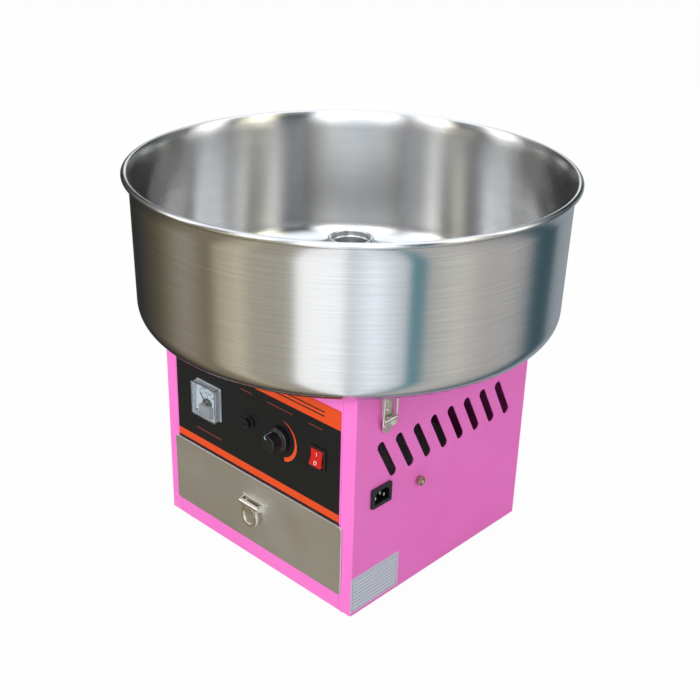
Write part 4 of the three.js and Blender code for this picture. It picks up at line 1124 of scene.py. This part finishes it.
shade = plate(rounded_box(20, 13.5, 1.5, METER_X, 187.6), -163.9, -158.75, "y", 0.8, 0)
piece("meter_lower_shade", [shade], "cabinet", "meter_shade_grey")
zero_screw = screw_head(METER_X, -160.3, HUB_Z + 0.2, 2.6)
cover_screws = [
    screw_head(METER_X + sx * SCREW_OFF, -160.2, METER_Z + sz * SCREW_OFF, 1.7)
    for sx in (-1, 1) for sz in (-1, 1)
]
cover_posts = [
    turned([(0, -158.75), (1.5, -158.75), (1.5, -160.2), (0, -160.2)], 20, "y",
           (METER_X + sx * SCREW_OFF, METER_Z + sz * SCREW_OFF))
    for sx in (-1, 1) for sz in (-1, 1)
]
piece("meter_screws", [*cover_screws, *cover_posts], "cabinet", "fittings_zinc_plated")


def needle_block():
    """A flat pointer that narrows from the hub to its tip and rests 45 degrees left of upright."""
    outline = np.array([(-0.7, -4.0), (0.7, -4.0), (0.55, 4.0), (0.16, 17.0), (-0.16, 17.0), (-0.55, 4.0)])
    a = math.radians(45)
    turn_by = np.array([[math.cos(a), math.sin(a)], [-math.sin(a), math.cos(a)]])
    return plate(outline @ turn_by + (METER_X, HUB_Z), -160.4, -159.6, "y")


hub_profile = np.concatenate([[(0, -159.0), (2.4, -159.0)], arc(2.0, -160.7, 0.4, 0, -90, 4), [(0, -161.1)]])
piece("meter_pointer", [needle_block(), turned(hub_profile, 32, "y", (METER_X, HUB_Z))], "needle",
      "meter_ink_black", ["meter_needle"])

# %% Fuse holder
FUSE_X, CONTROL_Z = -6.0, 199.0
PANEL_Y = -156.1  # the plane that the panel's fittings stand on
fuse_flange = np.concatenate([
    [(6.3, PANEL_Y), (7.6, PANEL_Y)], arc(7.4, -157.9, 0.6, 0, -90, 4),
    [(4.8, -158.5), (4.8, -130.0), (6.0, -130.0), (6.0, PANEL_Y)],
])


def coin_face(centre, radius, y_front, depth, slot_half, slot_length, y_back, sides=96):
    """A cap: rings on a disc whose depth drops inside a straight slot, then a fluted wall back to y_back."""
    angle = np.linspace(0, 2 * math.pi, sides, endpoint=False)
    rings = np.linspace(0, 1, 30)
    r = rings[:, None] * (radius - 0.4) + 0 * angle
    u, v = r * np.cos(angle), r * np.sin(angle)
    edge = np.clip((slot_half - np.abs(v)) / 0.25, 0, 1) * np.clip((slot_length - np.abs(u)) / 0.25, 0, 1)
    face_y = y_front + depth * edge
    flutes = 0.16 * np.cos(24 * angle)
    back = []
    for rr, yy, f in ((radius - 0.1, y_front + 0.15, 0.3), (radius, y_front + 0.5, 1.0),
                      (radius, y_back - 0.2, 1.0), (radius - 0.4, y_back, 0.0), (0.0, y_back, 0.0)):
        rad = rr + f * (flutes - 0.16)
        back.append(np.stack([rad * np.cos(angle), np.full(sides, yy), rad * np.sin(angle)], -1))
    top = np.stack([u, face_y, v], -1)
    points = np.concatenate([top, np.stack(back)]) + np.array([centre[0], 0, centre[1]])
    return grid(points, wrap_columns=True)


piece("fuse_socket", [turned(fuse_flange, 48, "y", (FUSE_X, CONTROL_Z))], "cabinet", "fitting_abs_black",
      ["fuse_holder"])
piece("fuse_screw_cap", [coin_face((FUSE_X, CONTROL_Z), 6.0, -164.1, 1.4, 0.7, 4.0, -158.9),
                         turned([(0, -159.0), (3.9, -159.0), (3.9, -148.1), (0, -148.1)], 32, "y",
                                (FUSE_X, CONTROL_Z))],
      "fuse_lid", "fitting_abs_black", ["fuse_cap"])

# %% Heat knob
KNOB_X = 46.0
# The pointer sits up and left, where the grip's highlight falls; its pale blue line is partly a painted
# highlight.
KNOB_MARK_AND_HIGHLIGHT_DEG = 122.0
knob_profile = np.concatenate([
    [(3.3, PANEL_Y - 17.4, 0), (3.3, PANEL_Y - 7, 0), (9.0, PANEL_Y - 7, 0), (9.0, PANEL_Y - 0.3, 0),
     (14.9, PANEL_Y - 0.3, 0), (15.0, PANEL_Y - 3.0, 0)],
    np.column_stack([*arc(13.2, PANEL_Y - 4.6, 1.8, 0, -75, 6).T, np.zeros(7)]),
    [(12.0, PANEL_Y - 6.9, 0), (10.9, PANEL_Y - 7.6, 0.5), (10.6, PANEL_Y - 9.0, 1.0),
     (10.25, PANEL_Y - 18.2, 1.0)],
    np.column_stack([*arc(9.2, PANEL_Y - 19.0, 1.0, 0, -90, 6).T, np.linspace(1, 0, 7)]),
    [(7.4, PANEL_Y - 20.0, 0), (6.9, PANEL_Y - 19.7, 0), (0, PANEL_Y - 19.7, 0), (0, PANEL_Y - 17.4, 0)],
])


def grip_flutes(angle):
    """Eighteen shallow finger flutes, 0.25 mm deep."""
    return -0.25 * (0.5 + 0.5 * np.cos(18 * angle))


knob_block = turned(knob_profile, 216, "y", (KNOB_X, CONTROL_Z), grip_flutes)
piece("fluted_heat_knob", [knob_block], "knob", "knob_abs_black", ["heat_knob"], 40)


def pointer_and_highlight_bar():
    """A bar along the grip's side and over its front edge towards the middle, bent at the edge: the knob's
    pointer, whose pale blue also paints the highlight along the grip's upper-left side.
    """
    t = 0.25
    path = np.array([(10.72, -7.9), (10.36, -18.4), (9.9, -19.6), (9.0, -20.12), (5.2, -20.12)])
    inner = path - np.array([(t, 0), (t, 0), (t * 0.7, -t * 0.7), (0, -t), (0, -t)])
    section = np.concatenate([path, inner[::-1]])
    a = math.radians(KNOB_MARK_AND_HIGHLIGHT_DEG)
    out, side = np.array([math.cos(a), math.sin(a)]), np.array([-math.sin(a), math.cos(a)])
    rows = []
    for half in (-0.62, 0.62):
        flat = section[:, :1] * out + half * side
        rows.append(np.column_stack([flat[:, 0] + KNOB_X, section[:, 1] + PANEL_Y, flat[:, 1] + CONTROL_Z]))
    return grid(np.stack(rows), wrap_columns=True, caps=True)


# A pale blue line: the knob's pointer, and a painted highlight along the grip's upper-left side.
piece("knob_pointer_and_painted_highlight", [pointer_and_highlight_bar()], "knob", "mark_ink_pale_blue", weighted=False)

# %% Control nut and printed marks
PRINT_Y = (-155.9, -155.75)  # depths between which the printed marks lie
crescent = sector(KNOB_X, 197.0, [26.4, 25.2, 23.8, 22.4, 21.6, 21.3], 26.5, 83, -75, *PRINT_Y, steps=60)
band_rule = [plate(rounded_box(150, 1.6, 0.7, 40, z), *PRINT_Y) for z in (259.5, 254.5)]
piece("label_heat_crescent", [crescent], "cabinet", "print_ink_orange", weighted=False)
word_rules = [
    plate(rounded_box(w, 1.3, 0.6, x, 236.7), *PRINT_Y)
    for x, w in ((-11.0, 20.0), (44.7, 42.0), (101.4, 22.0))
]
piece("label_word_rules", word_rules, "cabinet", "print_ink_dim_red")
piece("label_band_rules", band_rule, "cabinet", "meter_ink_black")
piece("label_name_rule", [plate(rounded_box(48, 1.6, 0.7, -80.5, 153), *PRINT_Y)], "cabinet",
      "print_ink_dim_red")

# %% Rocker switch
ROCKER_X, ROCKER_PIVOT_Y = 106.0, -153.1
ROCKER_TILT = math.radians(10)
ROCKER_NOSE = 5.6


def rocker_block():
    """The paddle from the side: a shallow V before the pivot, rounded behind, its upper half tilted in."""
    nose = ROCKER_NOSE
    end = nose + 10 * math.tan(ROCKER_TILT)
    side = np.concatenate([
        [(-nose, 0.0)], [(-end + 0.35, -9.85), (-end + 0.8, -10.0), (0, -10.0)], arc(0, 0, 10, -60, 60, 12),
        [(0, 10.0), (-end + 0.8, 10.0), (-end + 0.35, 9.85)],
    ])
    c, s = math.cos(-ROCKER_TILT), math.sin(-ROCKER_TILT)
    tilted = side @ np.array([[c, s], [-s, c]])
    return plate(tilted + (ROCKER_PIVOT_Y, CONTROL_Z), ROCKER_X - 9, ROCKER_X + 9, "x", 0.6, 0.6, 3)


piece("red_rocker_paddle", [rocker_block()], "rocker", "rocker_polycarbonate_red",
      ["switch_rocker"])


def on_rocker(mark, lean):
    """Lays a flat mark on one half of the paddle: it leans out by lean from the crease between the halves."""
    points, faces = mark
    points[:, 1] += (points[:, 2] - CREASE_Z) * math.tan(lean)
    return points, faces


FACE_Y = ROCKER_PIVOT_Y - ROCKER_NOSE * math.cos(ROCKER_TILT)
CREASE_Z = CONTROL_Z + ROCKER_NOSE * math.sin(ROCKER_TILT)
rocker_marks = [
    on_rocker(letters("I", 6.5, ROCKER_X, CONTROL_Z + 5.4, FACE_Y - 0.02, 0.12), 0.0),
    on_rocker(letters("O", 6.0, ROCKER_X, CONTROL_Z - 4.8, FACE_Y - 0.02, 0.12), 2 * ROCKER_TILT),
]
mark_piece("rocker_on_off_marks", rocker_marks, "rocker", "mark_ink_white")

bezel_section = np.concatenate([
    np.column_stack([0.8 * (1 - np.cos(np.radians([0, 30, 60, 90]))),
                     -157.3 - 0.8 * np.sin(np.radians([0, 30, 60, 90]))]),
    [(2.2, -158.1), (2.45, -157.8), (2.45, -150.0), (2.0, -150.0), (2.0, -156.1), (0.0, -156.1)],
])
bezel = carried(rounded_box(24, 28, 1.8, ROCKER_X, CONTROL_Z), bezel_section, "y", wrap=True)
housing = carried(rounded_box(20, 25, 0.8, ROCKER_X, CONTROL_Z),
                  [(0.9, -141.2), (0.9, -156.0), (0.0, -156.0), (0.0, -132.1)], "y")
piece("switch_bezel_and_body", [bezel, housing], "cabinet", "fitting_abs_black",
      ["switch_housing"])

# %% [markdown]
# ## The right side
#
# The mains inlet is a snap-in moulding with three blades inside. Beside it stands the
# earth terminal: a stud, a washer and a knurled nut of nickel-washed brass. The rating
# plate is a bare silver film with ruled lines and no words.

# %% Inlet blades, earth terminal, rating plate
def blade(y, z):
    """A flat contact standing in the socket, 2 mm by 4 mm, its tip rounded."""
    outline = rounded_box(2.0, 4.0, 0.5, y, z, 3)
    return plate(outline, 147.2, 159.5, "x", 0.0, 0.5, 3)


blades = [blade(INLET["y"] + y, INLET["z"] + z) for y, z in ((-7, -3), (0, 1.5), (7, -3))]
piece("inlet_contact_blades", blades, "cabinet", "hardware_nickel_plated")


def knurl(angle):
    """Thirty small ridges round the nut."""
    return 0.25 * np.cos(30 * angle) - 0.25


# Each point is its radius, its place along X and its share of the knurl.
nut_profile = [
    (2.4, 161.8, 0), (5.0, 161.8, 0), (5.6, 162.4, 1), (5.6, 165.7, 1), (5.0, 166.3, 0), (2.4, 166.3, 0),
]
washer_profile = [(2.4, 160.3, 0), (4.8, 160.3, 0), (4.8, 161.7, 0), (2.4, 161.7, 0)]
stud_profile = [(0, 153.8, 0), (2.4, 153.8, 0), (2.4, 167.7, 0), (1.7, 168.5, 0), (0, 168.5, 0)]
inner_nut = [(2.4, 153.8, 0), (5.0, 153.8, 0), (5.0, 158.5, 0), (2.4, 158.5, 0)]
at_terminal = (TERMINAL["y"], TERMINAL["z"])
piece("earth_thumb_terminal", [
    turned(nut_profile, 120, "x", at_terminal, knurl), turned(washer_profile, 32, "x", at_terminal),
    turned(stud_profile, 32, "x", at_terminal), turned(inner_nut, 6, "x", at_terminal),
], "cabinet", "terminal_brass", ["earth_terminal"])

plate_outline = rounded_box(PLATE["y"][1] - PLATE["y"][0], PLATE["z"][1] - PLATE["z"][0], 1.2,
                            sum(PLATE["y"]) / 2, sum(PLATE["z"]) / 2)
piece("bare_rating_plate", [plate(plate_outline, 160.02, 160.3, "x")], "cabinet", "rating_plate_silver_film")

# %% [markdown]
# ## The toggle latches
#
# Each latch is three pieces of plated steel. A base plate with two ears is riveted to
# the cabinet. A lever with a rounded tip turns on a pin through the ears, its two cheeks
# outside them. A wire loop hangs on the lever and pulls the bowl's hook down as the lever
# closes.

# %% Latches
PIVOT = (165.8, 253.0)
CRANK = (164.8, 246.0)
LOOP_Y = 10.5
LOOP_WIRE = 1.3
BASE_X = (160.3, 161.5)  # back and face of the base plate


def latch_base_blocks():
    """Plate with round corners, two ears, the pivot pin and two rivets."""
    base = plate(rounded_box(17.8, 28, 2.0, 0, 264), *BASE_X, "x", 0.0, 0.35)
    ear = np.concatenate([[(160.4, 250), (PIVOT[0], 250)], arc(*PIVOT, 3, -90, 90, 12), [(160.4, 256)]])
    ears = [plate(ear, low, low + 1.0, "y", 0.2, 0.2, 2) for low in (-7.4, 6.4)]
    pin_profile = [(0, -9.4), (1.2, -9.3), (1.5, -8.9), (1.5, 8.9), (1.2, 9.3), (0, 9.4)]
    pin = turned(pin_profile, 24, "y", PIVOT)
    barrel_profile = [(0, -6.4), (2.2, -6.4), (2.4, -6.2), (2.4, 6.2), (2.2, 6.4), (0, 6.4)]
    barrel = turned(barrel_profile, 32, "y", PIVOT)
    rivets = [screw_head(BASE_X[1], 0, z, 2.2, "x", 1.0) for z in (262.5, 273.0)]
    return [base, *ears, pin, barrel, *rivets]


def latch_lever_blocks():
    """Two cheeks on the pin and a tongue that hangs flat on the panel, with a round tip."""
    back, face, top = 161.0, 162.2, 249.5
    cheek = np.concatenate([
        arc(*PIVOT, 3, 0, 180, 10), [(162.4, top), (back, top), (back, 240.5), (face, 240.5)],
        arc(*CRANK, 3, -45, 0, 4),
    ])
    cheeks = [plate(cheek, low, low + 1.2, "y", 0.25, 0.25, 2) for low in (-8.9, 7.7)]
    tongue = np.concatenate([
        [(-8.9, top), (-8.9, 242.5)], arc(0, 243.5, 9.0, 189, 351, 24), [(8.9, 242.5), (8.9, top)],
    ])
    return [*cheeks, plate(tongue, back, face, "x", 0.15, 0.4, 3)]


def latch_loop_blocks():
    """Wire from one cheek out, up, across the hook and down to the other cheek."""
    def point(y, share):
        return (CRANK[0] + (BAR[0] - CRANK[0]) * share, y, CRANK[1] + (BAR[1] - CRANK[1]) * share)
    corners = [
        point(-7.9, 0), point(-LOOP_Y, 0), point(-LOOP_Y, 1),
        point(LOOP_Y, 1), point(LOOP_Y, 0), point(7.9, 0),
    ]
    return [wire(bent(corners, 2.2, 6), LOOP_WIRE, (BAR[1] - CRANK[1], 0, CRANK[0] - BAR[0]), 16)]


for place, sx, sy in CORNERS:
    turn_deg = 0 if sx > 0 else 180
    for kind, body, make in (
        ("base", "cabinet", latch_base_blocks), ("lever", f"lever_{place}", latch_lever_blocks),
        ("loop", f"loop_{place}", latch_loop_blocks),
    ):
        blocks = [moved(block, turn_deg, (0, sy * LATCH_Y, 0)) for block in make()]
        piece(f"toggle_{kind}_{place}", blocks, body, "hardware_nickel_plated",
              [f"latch_{kind}_{place}"])

# %% [markdown]
# ## The back and the small fixings
#
# Plated screws hold the back panel and the sides; here only the back's are made. They
# are small, but a back with none looks unfinished.

# %% Screws
back_screws = [screw_head(x, 155.0, z, 3.0, "y", 1.0) for x in (-128, 0, 128) for z in (30, 270)]
back_screws += [screw_head(sx * 128, 155.0, 150, 3.0, "y", 1.0) for sx in (-1, 1)]
piece("back_panel_screws", back_screws, "cabinet", "fittings_zinc_plated")
